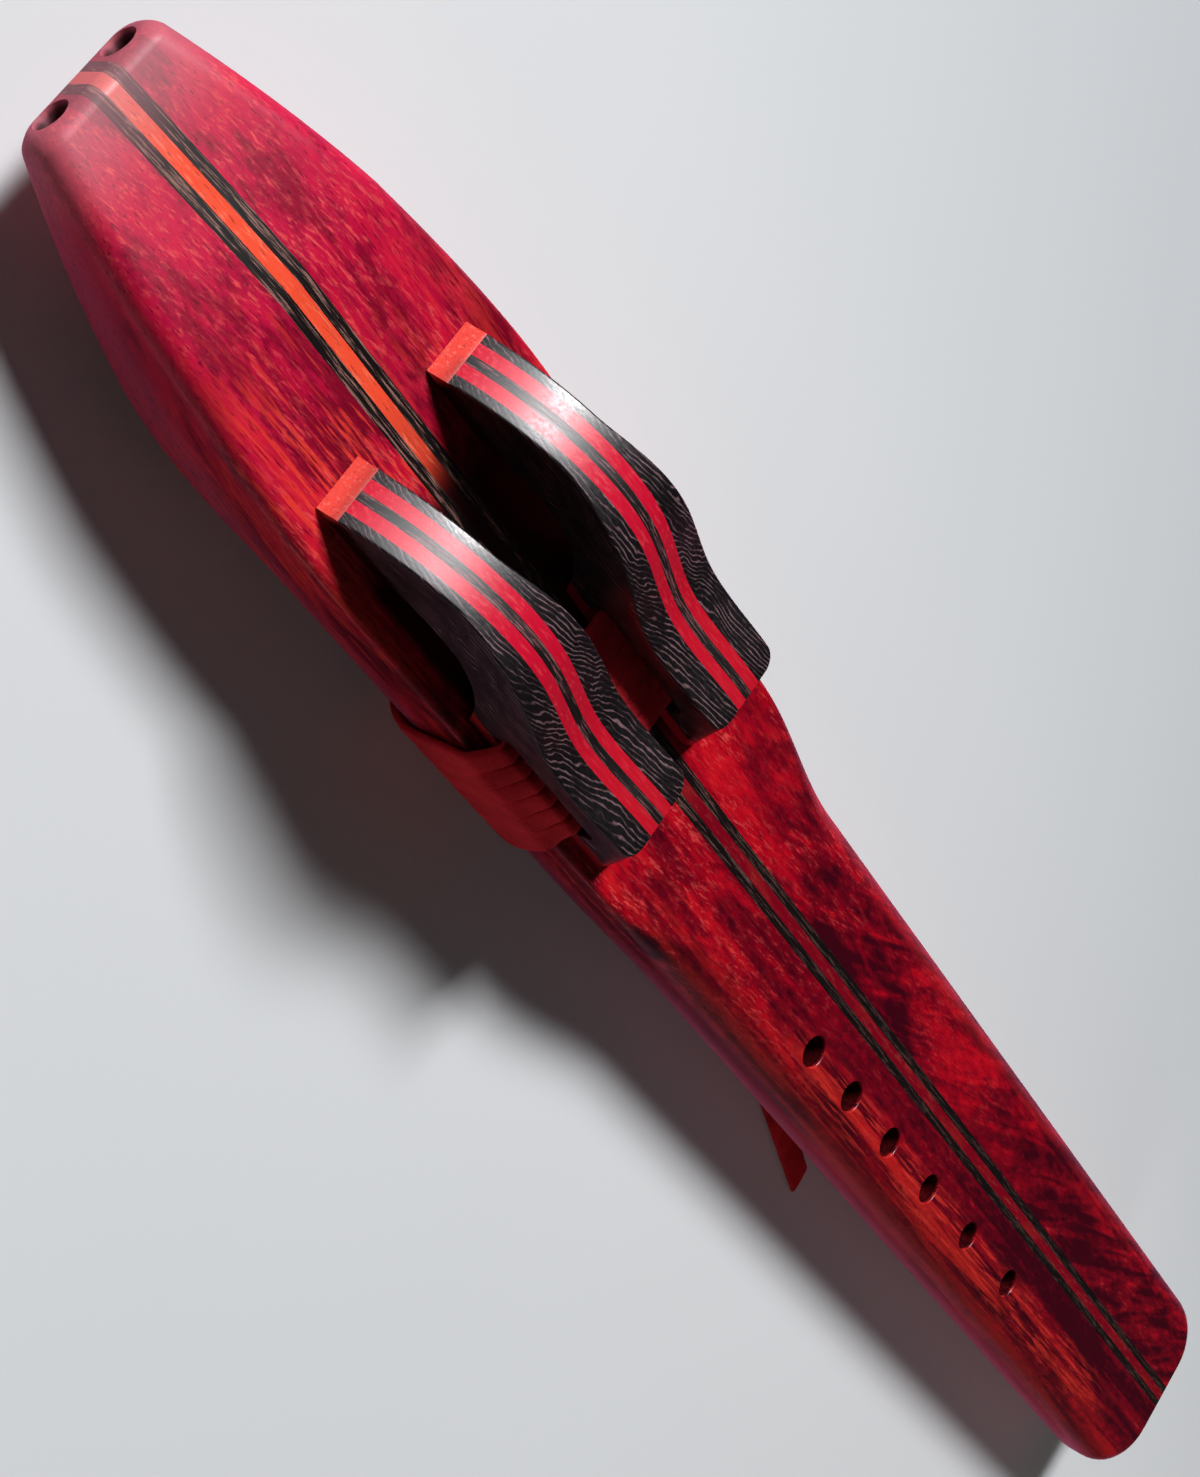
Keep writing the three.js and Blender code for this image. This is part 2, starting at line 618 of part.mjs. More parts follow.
/** Centre line of the whole winding: in the slots side by side, fanned out under the body. */
function windingRun() {
  const { stations, slotEnd, widest } = turnStations();
  const reach = [0];
  stations.slice(1).forEach((station, index) => {
    reach.push(reach[index] + station.at.distanceTo(stations[index].at));
  });
  const middle = (TURNS - 1) / 2;
  const slotX = (turn) => X_MOUTH + LACE_MIDDLE_AT + (turn - middle) * PITCH;
  const fanX = (turn) => X_MOUTH + LACE_MIDDLE_AT + FAN_SHIFT + (turn - middle) * FAN_PITCH;
  const run = [];
  for (let turn = 0; turn < TURNS; turn += 1) {
    stations.forEach((station, index) => {
      const spread = ease(reach[index], reach[slotEnd], reach[widest]);
      const gather = ease(reach[index], reach[widest], reach[stations.length - 1]);
      const x = mix(mix(slotX(turn), fanX(turn), spread), slotX(turn + 1), gather);
      const at = new THREE.Vector3(x, station.at.x, station.at.y);
      run.push({ at, out: new THREE.Vector3(0, station.out.x, station.out.y) });
    });
  }
  return run;
}

/** Rings of a flat band along a run, its broad face turned outwards and its tip cut on the slant. */
function bandRings(run, width, thickness, slant) {
  const last = run.length - 1;
  return run.map((station, index) => {
    const before = run[Math.max(index - 1, 0)].at;
    const after = run[Math.min(index + 1, last)].at;
    const ahead = new THREE.Vector3().subVectors(after, before).normalize();
    const wide = new THREE.Vector3().crossVectors(station.out, ahead).normalize();
    const thick = new THREE.Vector3().crossVectors(ahead, wide);
    const setBack = index === last ? -slant : 0;
    const corner = (across, over) => station.at.clone()
      .addScaledVector(wide, (across * width) / 2)
      .addScaledVector(thick, (over * thickness) / 2)
      .addScaledVector(ahead, setBack * across);
    const flat = 1 - (thickness * EDGE_ROUNDING) / width;
    const upper = [corner(1, 0), corner(flat, 1), corner(-flat, 1)];
    const lower = [corner(-1, 0), corner(-flat, -1), corner(flat, -1)];
    return [...upper, ...lower];
  });
}

/** Least room between two turns, measured from the corners of one to the edges of the others. */
function leastTurnGap(rings) {
  const apart = Math.floor(rings.length / TURNS / 2);
  const edge = new THREE.Line3();
  const nearest = new THREE.Vector3();
  let least = Infinity;
  rings.forEach((ring, index) => {
    for (let later = index + apart; later + 1 < rings.length; later += 1) {
      rings[later].forEach((start, side) => {
        edge.set(start, rings[later + 1][side]);
        ring.forEach((point) => {
          edge.closestPointToPoint(point, true, nearest);
          least = Math.min(least, nearest.distanceTo(point));
        });
      });
    }
  });
  return least;
}

/** Free end of the lace: from the knot down to the table and slantwise under the belly. */
function endRun(knot) {
  const low = END_CLEAR + END_THICKNESS / 2;
  const up = new THREE.Vector3(0, 0, 1);
  const tip = new THREE.Vector3(X_MOUTH + END_TIP_AT, END_TIP_OFFSET, low);
  const back = END_LANDING_AT - END_TIP_AT;
  const landing = tip.clone().add(new THREE.Vector3(back, -END_SLOPE * back, 0));
  const start = knot.clone().add(new THREE.Vector3(KNOT_LENGTH / 2 + LACE_REST, 0, -END_START_DROP));
  const fall = new THREE.CubicBezierCurve3(
    start,
    start.clone().add(new THREE.Vector3(END_DROP_EASE, 0, 0)),
    landing.clone().add(new THREE.Vector3(-END_DROP_EASE, END_SLOPE * END_DROP_EASE, 0)),
    landing,
  );
  const beats = Math.ceil(-back / (END_WIDTH * 2));
  const level = new THREE.LineCurve3(landing, tip);
  const points = [...fall.getPoints(CREASE_STEPS + 1), ...level.getPoints(beats).slice(1)];
  return points.map((at) => ({ at, out: up }));
}

/** Lace: the winding, the knot over it and the end that lies free. */
function buildLace() {
  const group = new THREE.Group();
  group.name = 'lace';
  const rings = bandRings(windingRun(), LACE_WIDTH, LACE_THICKNESS, 0);
  group.add(piece('lace_winding', solid(loft(rings)), SUEDE));
  console.log(`least gap between turns of the lace: ${leastTurnGap(rings).toFixed(2)} mm`);

  const lean = THREE.MathUtils.degToRad(KNOT_ANGLE);
  const arm = BLOCK_BELLY_ROUND + LACE_THICKNESS + 2 * LACE_REST + KNOT_THICKNESS / 2;
  const knotY = SHOULDER_HALF_WIDTH - BLOCK_BELLY_ROUND + arm * Math.sin(lean);
  const knotZ = Z_BELLY + BLOCK_BELLY_ROUND - arm * Math.cos(lean);
  const knotAt = new THREE.Vector3(X_MOUTH + KNOT_AT, knotY, knotZ);
  const knot = new THREE.SphereGeometry(1, KNOT_SIDES, CURVE_STEPS);
  knot.scale(KNOT_LENGTH / 2, KNOT_THICKNESS / 2, KNOT_WIDTH / 2);
  knot.rotateX(lean - Math.PI / 2);
  knot.translate(knotAt.x, knotAt.y, knotAt.z);
  group.add(piece('lace_knot', solid(knot), SUEDE));

  const end = bandRings(endRun(knotAt), END_WIDTH, END_THICKNESS, END_TIP_SLANT);
  group.add(piece('lace_end', solid(loft(end)), SUEDE));
  return group;
}

const flute = new THREE.Group();
flute.name = 'double_flute';
flute.add(buildBody());
flute.add(buildBlock('melody', -1));
flute.add(buildBlock('drone', 1));
flute.add(buildLace());

export default flute;
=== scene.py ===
"""Double flute: the dressed model of a melody tube and a drone tube tied under two blocks.

Sizes of pieces are in millimetres and turn into metres where a mesh is made. Places in finishes
are in metres, as their coordinates are. +X runs from the mouth to the foot, +Y to the drone tube
and +Z up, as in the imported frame.
"""

import logging
import math
from dataclasses import dataclass, field
from enum import Enum
from typing import Sequence, Union

import bpy
import numpy as np
from mathutils import Matrix, Vector


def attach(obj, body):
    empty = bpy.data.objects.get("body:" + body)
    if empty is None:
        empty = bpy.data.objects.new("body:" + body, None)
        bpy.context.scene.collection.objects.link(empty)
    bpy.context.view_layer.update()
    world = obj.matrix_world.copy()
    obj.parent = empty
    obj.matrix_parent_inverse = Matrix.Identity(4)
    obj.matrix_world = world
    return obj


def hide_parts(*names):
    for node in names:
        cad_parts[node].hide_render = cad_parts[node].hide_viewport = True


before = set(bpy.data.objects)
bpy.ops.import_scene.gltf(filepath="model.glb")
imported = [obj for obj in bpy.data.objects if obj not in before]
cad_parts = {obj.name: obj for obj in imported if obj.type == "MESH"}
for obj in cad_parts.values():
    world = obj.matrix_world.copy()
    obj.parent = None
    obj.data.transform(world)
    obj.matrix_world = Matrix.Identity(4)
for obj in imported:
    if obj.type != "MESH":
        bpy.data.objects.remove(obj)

LOG = logging.getLogger("double_flute")
MM = 0.001
THIN = 1e-3
CREASE = 35.0

Array = np.ndarray
Colour = tuple[float, float, float, float]
Span = tuple[float, float]
Triple = tuple[float, float, float]
Ramp = tuple[float, float, float, float]
Number = Union["Signal", float]
Feed = Union["Signal", float, Sequence[float]]


class Side(Enum):
    """The two tubes, by the sign of their Y."""

    MELODY = -1
    DRONE = 1

    @property
    def label(self) -> str:
        """Name that the side's pieces start with."""
        return self.name.lower()


class Slot(Enum):
    """Material slots of the record."""

    RED_WOOD = "red_wood"
    CENTRE_RED = "centre_red"
    DARK_WOOD = "dark_wood"
    BLOCK_RED = "block_red"
    PAD_RED = "pad_red"
    SUEDE = "suede"


class Laminate(Enum):
    """The five laminates of a block, from its left side to its right."""

    LEFT_DARK = "left_dark_laminate"
    LEFT_RED = "left_red_laminate"
    MIDDLE = "middle_laminate"
    RIGHT_RED = "right_red_laminate"
    RIGHT_DARK = "right_dark_laminate"


class Ray(Enum):
    """Ways in which a surface can be met by light."""

    LOOKED_AT = "Is Camera Ray"
    MIRRORED = "Is Glossy Ray"
    PASSED_ON = "Is Diffuse Ray"


def srgb(red: int, green: int, blue: int) -> Colour:
    """Linear colour of an 8-bit display colour.

    Args:
        red: red from 0 to 255.
        green: green from 0 to 255.
        blue: blue from 0 to 255.

    Returns:
        Linear red, green, blue and a full alpha.
    """
    level = np.array([red, green, blue]) / 255.0
    linear = np.where(level <= 0.04045, level / 12.92, ((level + 0.055) / 1.055) ** 2.4)
    return (*(float(value) for value in linear), 1.0)


def share(value: Array, start: float, stop: float) -> Array:
    """Part of the way from start to stop, held between 0 and 1."""
    return np.clip((np.asarray(value, float) - start) / (stop - start), 0.0, 1.0)


def ease(value: Array, start: float, stop: float) -> Array:
    """Part of the way from start to stop with soft ends: 3t^2 - 2t^3."""
    part = share(value, start, stop)
    return part * part * (3.0 - 2.0 * part)


def mix(first: Array, second: Array, part: Array) -> Array:
    """Value between first and second."""
    return first + (second - first) * part


def fall_back(distance: Array, depth: float, amount: float) -> Array:
    """Set-back of a rounded end: a quarter circle that ends at a depth."""
    rest = 1.0 - share(distance, 0.0, depth)
    return amount * (1.0 - np.sqrt(1.0 - rest * rest))


def full_turn(count: int) -> Array:
    """Angles of a full turn, without the last."""
    return np.linspace(0.0, 2 * np.pi, count, endpoint=False)


def quarter_turn(count: int) -> Array:
    """Angles of a quarter turn."""
    return np.linspace(0.0, np.pi / 2, count)


def unit(rows: Array) -> Array:
    """Vectors brought to length 1."""
    return rows / np.linalg.norm(rows, axis=-1, keepdims=True)


def spans(line: Array) -> Array:
    """Lengths between the points of a line."""
    return np.linalg.norm(np.diff(line, axis=0), axis=1)


def spread_points(x: Array, y: Array, z: Array) -> Array:
    """Points from three coordinates that are stretched to one shape."""
    return np.stack(np.broadcast_arrays(x, y, z), axis=-1).astype(float)


def bezier(points: Sequence[Sequence[float]], steps: int) -> Array:
    """Points on a cubic curve: the Bernstein sum of its four control points.

    Args:
        points: four control points.
        steps: number of points to work out.

    Returns:
        Array of steps by the size of a point.
    """
    part = np.linspace(0.0, 1.0, steps)[:, None]
    left = 1.0 - part
    first, second, third, last = np.asarray(points, float)
    return left**3 * first + 3 * left**2 * part * second + 3 * left * part**2 * third + part**3 * last


@dataclass
class Shell:
    """Vertices in millimetres and the faces between them."""

    points: Array
    faces: list[list[int]]


def loft(rings: Array, closed_path: bool = False) -> Shell:
    """Skin over a row of rings.

    Vertex (row, column) joins (row, column + 1), and both join the same columns of the next row.
    An open row of rings is capped with one face at each end.

    Args:
        rings: array of rows by columns by 3.
        closed_path: whether the last ring joins the first.

    Returns:
        The closed skin.
    """
    rows, columns, _ = rings.shape
    index = np.arange(rows * columns).reshape(rows, columns)
    near = index if closed_path else index[:-1]
    far = np.roll(index, -1, axis=0) if closed_path else index[1:]
    quads = np.stack([near, np.roll(near, -1, 1), np.roll(far, -1, 1), far], axis=-1)
    faces = quads.reshape(-1, 4).tolist()
    if not closed_path:
        faces.append(index[0, ::-1].tolist())
        faces.append(index[-1].tolist())
    return Shell(rings.reshape(-1, 3), faces)


def signed_volume(mesh: bpy.types.Mesh) -> float:
    """Sum of the tetrahedra from the origin to each triangle, positive when faces point out.

    Args:
        mesh: mesh to measure.

    Returns:
        Six times the volume.
    """
    mesh.calc_loop_triangles()
    points = np.empty(len(mesh.vertices) * 3)
    mesh.vertices.foreach_get("co", points)
    corners = np.empty(len(mesh.loop_triangles) * 3, dtype=np.int32)
    mesh.loop_triangles.foreach_get("vertices", corners)
    triangle = points.reshape(-1, 3)[corners.reshape(-1, 3)]
    return float(np.einsum("ij,ij->", triangle[:, 0], np.cross(triangle[:, 1], triangle[:, 2])))


def smooth(mesh: bpy.types.Mesh, crease: float) -> None:
    """Shade a mesh smooth but for edges sharper than an angle in degrees."""
    mesh.polygons.foreach_set("use_smooth", np.ones(len(mesh.polygons), dtype=bool))
    mesh.set_sharp_from_angle(angle=math.radians(crease))


def linked(name: str, data: bpy.types.ID) -> bpy.types.Object:
    """New object of the scene.

    Args:
        name: object name.
        data: its mesh, lamp or camera.

    Returns:
        The object.
    """
    obj = bpy.data.objects.new(name, data)
    bpy.context.collection.objects.link(obj)
    return obj


def mesh_object(name: str, shell: Shell, crease: float = CREASE) -> bpy.types.Object:
    """Object with its place in its mesh, facing outwards and smooth up to an angle.

    Args:
        name: object name.
        shell: vertices and faces.
        crease: angle in degrees past which an edge stays sharp.

    Returns:
        The new object, linked to the scene.
    """
    mesh = bpy.data.meshes.new(name)
    mesh.from_pydata((shell.points * MM).tolist(), [], shell.faces)
    mesh.validate()
    mesh.update()
    if signed_volume(mesh) < 0.0:
        mesh.flip_normals()
    smooth(mesh, crease)
    return linked(name, mesh)


def cut(obj: bpy.types.Object, cutters: Sequence[Shell]) -> None:
    """Take shapes out of an object, one after the other.

    Args:
        obj: object to cut.
        cutters: closed shells to take away.
    """
    tools = [mesh_object(f"cutter_{number}", shell) for number, shell in enumerate(cutters)]
    for tool in tools:
        modifier = obj.modifiers.new(tool.name, "BOOLEAN")
        modifier.operation = "DIFFERENCE"
        modifier.solver = "EXACT"
        modifier.object = tool
    depsgraph = bpy.context.evaluated_depsgraph_get()
    carved = bpy.data.meshes.new_from_object(obj.evaluated_get(depsgraph))
    obj.modifiers.clear()
    obj.data = carved
    carved.name = obj.name
    smooth(carved, CREASE)
    for tool in tools:
        mesh = tool.data
        bpy.data.objects.remove(tool)
        bpy.data.meshes.remove(mesh)


def bar_along_x(diameter: float, start: float, stop: float, y: float, z: float) -> Shell:
    """Round bar: a circle in Y and Z carried along X.

    Args:
        diameter: width of the bar.
        start: X of one end.
        stop: X of the other end.
        y: Y of its axis.
        z: Z of its axis.

    Returns:
        The closed bar.
    """
    turn = full_turn(72)
    radius = diameter / 2
    ends = np.array([[start], [stop]])
    return loft(spread_points(ends, y + radius * np.cos(turn), z + radius * np.sin(turn)))


def box(low: Triple, high: Triple) -> Shell:
    """Box between two corners: a rectangle in Y and Z carried along X.

    Args:
        low: corner with the smallest coordinates.
        high: corner with the largest coordinates.

    Returns:
        The closed box.
    """
    y = np.array([low[1], high[1], high[1], low[1]])
    z = np.array([low[2], low[2], high[2], high[2]])
    return loft(spread_points(np.array([[low[0]], [high[0]]]), y, z))


def band(path: Array, out: Array, width: Array, thickness: float, tilt: Array, slant: float = 0.0) -> Shell:
    """Flat band along a path, with rounded edges.

    Each ring is a flattened superellipse spanned by the direction across the path and the outward
    direction, both turned by the tilt about the path.

    Args:
        path: points of the centre line.
        out: outward directions of the broad face.
        width: widths along the path.
        thickness: thickness of the band.
        tilt: turns about the path, in radians.
        slant: how far the two edges of the last ring are set apart along the path.

    Returns:
        The closed band.
    """
    edge_power, face_power = 0.45, 0.7
    ahead = unit(np.gradient(path, axis=0))
    wide = unit(np.cross(out, ahead))
    thick = np.cross(ahead, wide)
    cos, sin = np.cos(tilt)[:, None], np.sin(tilt)[:, None]
    across = wide * cos + thick * sin
    over = thick * cos - wide * sin
    turn = full_turn(20)
    flat_x = np.sign(np.cos(turn)) * np.abs(np.cos(turn)) ** edge_power
    flat_z = np.sign(np.sin(turn)) * np.abs(np.sin(turn)) ** face_power
    rings = (
        path[:, None]
        + across[:, None] * (width[:, None] / 2 * flat_x)[:, :, None]
        + over[:, None] * (thickness / 2 * flat_z)[:, None]
    )
    rings[-1] -= ahead[-1] * (slant * flat_x)[:, None]
    return loft(rings)


@dataclass(frozen=True)
class Signal:
    """Number or colour worked out by nodes, which takes part in plain arithmetic."""

    bench: "NodeBench"
    socket: bpy.types.NodeSocket

    def __add__(self, other: Number) -> "Signal":
        """Sum."""
        return self.bench.math("ADD", self, other)

    def __sub__(self, other: Number) -> "Signal":
        """Difference."""
        return self.bench.math("SUBTRACT", self, other)

    def __mul__(self, other: Number) -> "Signal":
        """Product."""
        return self.bench.math("MULTIPLY", self, other)

    def most(self, other: Number) -> "Signal":
        """The larger of two numbers."""
        return self.bench.math("MAXIMUM", self, other)

    def about(self, strength: Number) -> "Signal":
        """Swing about one half, times a strength."""
        return (self - 0.5) * strength

    def step(self, start: float, stop: float, low: float = 0.0, high: float = 1.0) -> "Signal":
        """Soft step that is low up to start and high from stop on."""
        ends = {"From Min": start, "From Max": stop, "To Min": low, "To Max": high}
        return self.bench.node("MapRange", "Result", {"Value": self, **ends}, interpolation_type="SMOOTHSTEP")

    def within(self, low: float, high: float, soft: float) -> "Signal":
        """1 between two values and 0 outside them, with soft edges."""
        return self.step(low, low + soft) * self.step(high - soft, high, 1.0, 0.0)


@dataclass(frozen=True)
class Cloud:
    """Noise stretched along the grain.

    The scale is in repeats per metre along X, Y and Z. A slant turns the grain about Z before it
    is stretched and a skew turns it after, both in degrees.
    """

    scale: Triple
    detail: float = 4.0
    rough: float = 0.55
    warp: float = 0.0
    slant: float = 0.0
    skew: float = 0.0


class NodeBench:
    """Short words for building a node tree."""

    def __init__(self, tree: bpy.types.NodeTree, coordinates: str = "Object") -> None:
        """Work on a tree, with one kind of coordinates."""
        self.tree = tree
        self.place = self.node("TexCoord", coordinates, {})

    def feed(self, node: bpy.types.Node, inputs: dict[str | int, Feed]) -> None:
        """Join signals to a node's inputs and set the constant ones.

        Args:
            node: node to feed.
            inputs: signals or constants, by socket name or number.
        """
        for key, value in inputs.items():
            if isinstance(value, Signal):
                self.tree.links.new(value.socket, node.inputs[key])
            else:
                node.inputs[key].default_value = value

    def node(self, kind: str, output: str | int, inputs: dict[str | int, Feed], **options: str) -> Signal:
        """New node.

        Args:
            kind: node type without its first word.
            output: name or number of the output to use.
            inputs: signals or constants, by socket name or number.
            **options: settings of the node.

        Returns:
            The chosen output.
        """
        node = self.tree.nodes.new(f"ShaderNode{kind}")
        for key, value in options.items():
            setattr(node, key, value)
        self.feed(node, inputs)
        return Signal(self, node.outputs[output])

    def math(self, operation: str, first: Number, second: Number = 0.0) -> Signal:
        """Arithmetic on two numbers."""
        return self.node("Math", "Value", {0: first, 1: second}, operation=operation)

    def axis(self, name: str, vector: Signal | None = None) -> Signal:
        """One part of a vector, or of the coordinates."""
        return self.node("SeparateXYZ", name, {"Vector": vector or self.place})

    def ray(self, kind: Ray) -> Signal:
        """1 where the surface is met in one way, 0 elsewhere."""
        return self.node("LightPath", kind.value, {})

    def mapped(self, scale: Triple, turn: Triple) -> Signal:
        """Coordinates, scaled and then turned in degrees."""
        angles = [math.radians(angle) for angle in turn]
        return self.node("Mapping", "Vector", {"Vector": self.place, "Scale": scale, "Rotation": angles})

    def slanted(self, scale: Triple, angle: float) -> Signal:
        """Coordinates turned about Z by an angle in degrees and then scaled."""
        inputs = {"Scale": [1.0 / value for value in scale], "Rotation": (0.0, 0.0, math.radians(angle))}
        return self.node("Mapping", "Vector", {"Vector": self.place, **inputs}, vector_type="TEXTURE")

    def cloud(self, kind: Cloud) -> Signal:
        """Noise from 0 to 1.

        Args:
            kind: its stretch and character.

        Returns:
            The noise.
        """
        turned = self.slanted(kind.scale, kind.slant) if kind.slant else None
        vector = turned or self.mapped(kind.scale, (0.0, 0.0, kind.skew))
        looks = {"Scale": 1.0, "Detail": kind.detail, "Roughness": kind.rough, "Distortion": kind.warp}
        return self.node("TexNoise", "Fac", {"Vector": vector, **looks})

    def ramp(self, value: Signal, stops: Sequence[tuple[float, Colour]]) -> Signal:
        """Colour ramp.

        Args:
            value: number to look up.
            stops: places from 0 to 1 and their colours.

        Returns:
            The colour.
        """
        node = self.tree.nodes.new("ShaderNodeValToRGB")
        elements = node.color_ramp.elements
        while len(elements) < len(stops):
            elements.new(0.5)
        for element, (place, colour) in zip(elements, stops):
            element.position = place
            element.color = colour
        self.feed(node, {"Fac": value})
        return Signal(self, node.outputs["Color"])

    def blend(self, factor: Number, first: Feed, second: Feed) -> Signal:
        """Two colours mixed by a factor; the colour sockets of the node go by number."""
        return self.node("Mix", 2, {0: factor, 6: first, 7: second}, data_type="RGBA")

    def choose(self, factor: Number, first: Number, second: Number) -> Signal:
        """Two numbers mixed by a factor."""
        return self.node("Mix", "Result", {"Factor": factor, "A": first, "B": second})


class MaterialBench(NodeBench):
    """Node tree of one material, with the wear, the painted sheen and the painted shade that the woods share.
    """

    # Painted sheen: pale pink laid on the very mouth end, where the finish mirrors the room.
    dust = srgb(206, 150, 158)
    dust_along: Span = (-0.2195, -0.206)
    dull_along: Ramp = (-0.214, -0.19, 0.2, 0.0)
    # Painted shade: near-black red laid where shade falls, between and under the blocks and inside the
    # hollows.
    painted_shade = srgb(34, 2, 6)
    painted_shade_across: Triple = (-0.0205, 0.0135, 0.002)
    painted_shade_ends = 1 / 8
    soft_up = 0.0003

    def __init__(self, name: str) -> None:
        """Start a material with a principled shader.

        Args:
            name: name of the material.
        """
        self.material = bpy.data.materials.new(name)
        self.material.use_nodes = True
        tree = self.material.node_tree
        tree.nodes.clear()
        super().__init__(tree)
        self.shader = tree.nodes.new("ShaderNodeBsdfPrincipled")
        output = tree.nodes.new("ShaderNodeOutputMaterial")
        tree.links.new(self.shader.outputs["BSDF"], output.inputs["Surface"])

    def bump(self, height: Signal, strength: float, distance: float) -> Signal:
        """Surface relief from a height."""
        return self.node("Bump", "Normal", {"Height": height, "Strength": strength, "Distance": distance})

    def finish(self, inputs: dict[str, Feed]) -> bpy.types.Material:
        """Feed the shader and hand out the material."""
        self.feed(self.shader, inputs)
        return self.material

    def worn(self) -> Signal:
        """Extra roughness where the mouth wears the finish dull."""
        return self.axis("X").step(*self.dull_along)

    def with_painted_sheen(self, base: Signal, amount: float) -> Signal:
        """Colour with a painted pale sheen on the very mouth end."""
        return self.blend(self.axis("X").step(*self.dust_along, amount, 0.0), base, self.dust)

    def with_painted_shade(self, base: Signal, along: Span, up: Span) -> Signal:
        """Colour with painted shade between the blocks and under their arches.

        Args:
            base: colour elsewhere.
            along: range of X.
            up: range of Z.

        Returns:
            The stained colour.
        """
        run = self.axis("X").within(*along, (along[1] - along[0]) * self.painted_shade_ends)
        level = self.axis("Z").within(*up, self.soft_up)
        return self.blend(run * self.axis("Y").within(*self.painted_shade_across) * level, base, self.painted_shade)


@dataclass(frozen=True)
class FiguredRed:
    """Crimson stained figured hardwood of the two tubes.

    Slow patches run from wine to scarlet, short pale flecks and dark pores follow the grain, the
    mouth leans to magenta and the top edges to orange. Painted light is laid on too: a painted mauve
    reflection on the lower near flank, a painted lighter tone on the near flank towards the foot, a
    painted pale sheen at the very mouth and painted shade in the hollows and under the blocks. A
    range that ends in along, across or up holds two places and the values at them.
    """

    wine: Colour = srgb(60, 1, 17)
    crimson: Colour = srgb(124, 2, 24)
    red: Colour = srgb(176, 6, 28)
    scarlet: Colour = srgb(212, 20, 34)
    magenta: Colour = srgb(206, 22, 80)
    edge: Colour = srgb(206, 40, 32)
    plum: Colour = srgb(136, 16, 52)
    # Painted reflection: mauve for the lower near flank, where the pale floor is mirrored at a grazing angle.
    painted_reflection: Colour = srgb(220, 116, 154)
    stroke: Colour = srgb(236, 62, 48)
    fleck: Colour = srgb(236, 82, 80)
    sheen: Colour = srgb(226, 120, 160)
    patch: Cloud = Cloud((15, 62, 62), 5.0, 0.62, 0.8, slant=-6.0)
    patch_along: Ramp = (-0.06, 0.06, 1.0, 0.5)
    flame: Cloud = Cloud((34, 230, 230), 3.0, 0.5, 0.9, slant=18.0)
    flame_along: Ramp = (-0.1, 0.0, 0.0, 0.7)
    mottle: Cloud = Cloud((260, 620, 620), rough=0.65)
    mottle_along: Ramp = (-0.14, -0.03, 0.42, 0.3)
    billow: Cloud = Cloud((60, 150, 150), 4.0, 0.6, 0.7, slant=-14.0)
    billow_along: Ramp = (-0.12, -0.02, 0.6, 0.12)
    grain: Cloud = Cloud((13, 330, 330), 4.0, 0.6, 0.5, skew=1.0)
    grain_on_drone: Ramp = (0.0, 1.0, 0.5, 0.15)
    drone_across: Span = (-0.003, 0.003)
    heart: Triple = (-0.0115, -0.001, 0.004)
    heart_along: Ramp = (-0.02, 0.14, 0.0, -0.08)
    foot_along: Ramp = (-0.06, 0.14, 0.0, -0.1)
    waist: Triple = (-0.08, 0.05, 0.04)
    waist_tone: float = -0.06
    mouth_along: Ramp = (-0.215, -0.11, 0.62, 0.0)
    mouth_tone: float = 0.1
    # Painted light: the near flank towards the foot is painted a lighter tone.
    painted_light_flank_across: Ramp = (-0.0225, -0.016, 0.13, 0.0)
    painted_light_flank_along: Span = (-0.02, 0.05)
    least_along: Ramp = (-0.19, -0.1, 0.42, 0.3)
    stops: Ramp = (0.31, 0.45, 0.56, 0.72)
    magenta_tone: Span = (0.3, 0.55)
    melody_edge_across: Ramp = (-0.0185, -0.0085, 0.75, 0.0)
    drone_edge_across: Ramp = (0.013, 0.022, 0.0, 0.3)
    edge_along: Ramp = (-0.03, 0.03, 0.35, 1.0)
    edge_end_along: Ramp = (0.1, 0.2, 1.0, 0.4)
    edge_up: Ramp = (0.019, 0.0255, 0.25, 1.0)
    edge_grain: Span = (0.44, 0.62)
    plum_up: Ramp = (0.012, 0.0235, 0.6, 0.0)
    painted_reflection_up: Ramp = (0.0125, 0.0205, 0.85, 0.0)
    painted_reflection_along: Ramp = (-0.07, 0.0, 0.4, 1.0)
    painted_reflection_across: Ramp = (-0.012, -0.004, 1.0, 0.0)
    fibre: Cloud = Cloud((85, 1500, 1500), 3.0, 0.55, 0.3)
    fibre_line: Span = (0.5, 0.62)
    shoulder: Triple = (-0.2, -0.115, 0.035)
    shoulder_across: Ramp = (-0.004, 0.0, 0.8, 0.25)
    fingers: Triple = (-0.02, 0.2, 0.04)
    finger_row: Triple = (-0.0215, -0.0085, 0.004)
    finger_strokes: float = 0.5
    streak: Cloud = Cloud((380, 1900, 1900), 4.0, 0.6, 0.4, slant=5.0)
    streak_line: Span = (0.5, 0.68)
    crowd: Cloud = Cloud((28, 70, 70), 2.0)
    crowding: Ramp = (0.38, 0.62, 0.12, 0.8)
    fleck_along: Ramp = (-0.09, 0.02, 1.0, 0.3)
    fleck_tone: Span = (0.34, 0.52)
    pore: Cloud = Cloud((300, 3400, 3400), 2.0, 0.5)
    pore_line: Span = (0.6, 0.68)
    pore_depth: float = 0.6
    bores: tuple[Span, float, Span] = ((-0.165, 0.2178), 0.0163, (0.0072, 0.0266))
    mouths: tuple[Span, float, Span] = ((-0.22, -0.19), 0.0093, (0.0137, 0.0191))
    # Painted shade inside the bores, windways and finger holes.
    hollow_shade: float = 0.88
    hollow_soft: float = 0.001
    # Amount of the painted sheen at the very mouth.
    dust: float = 0.32
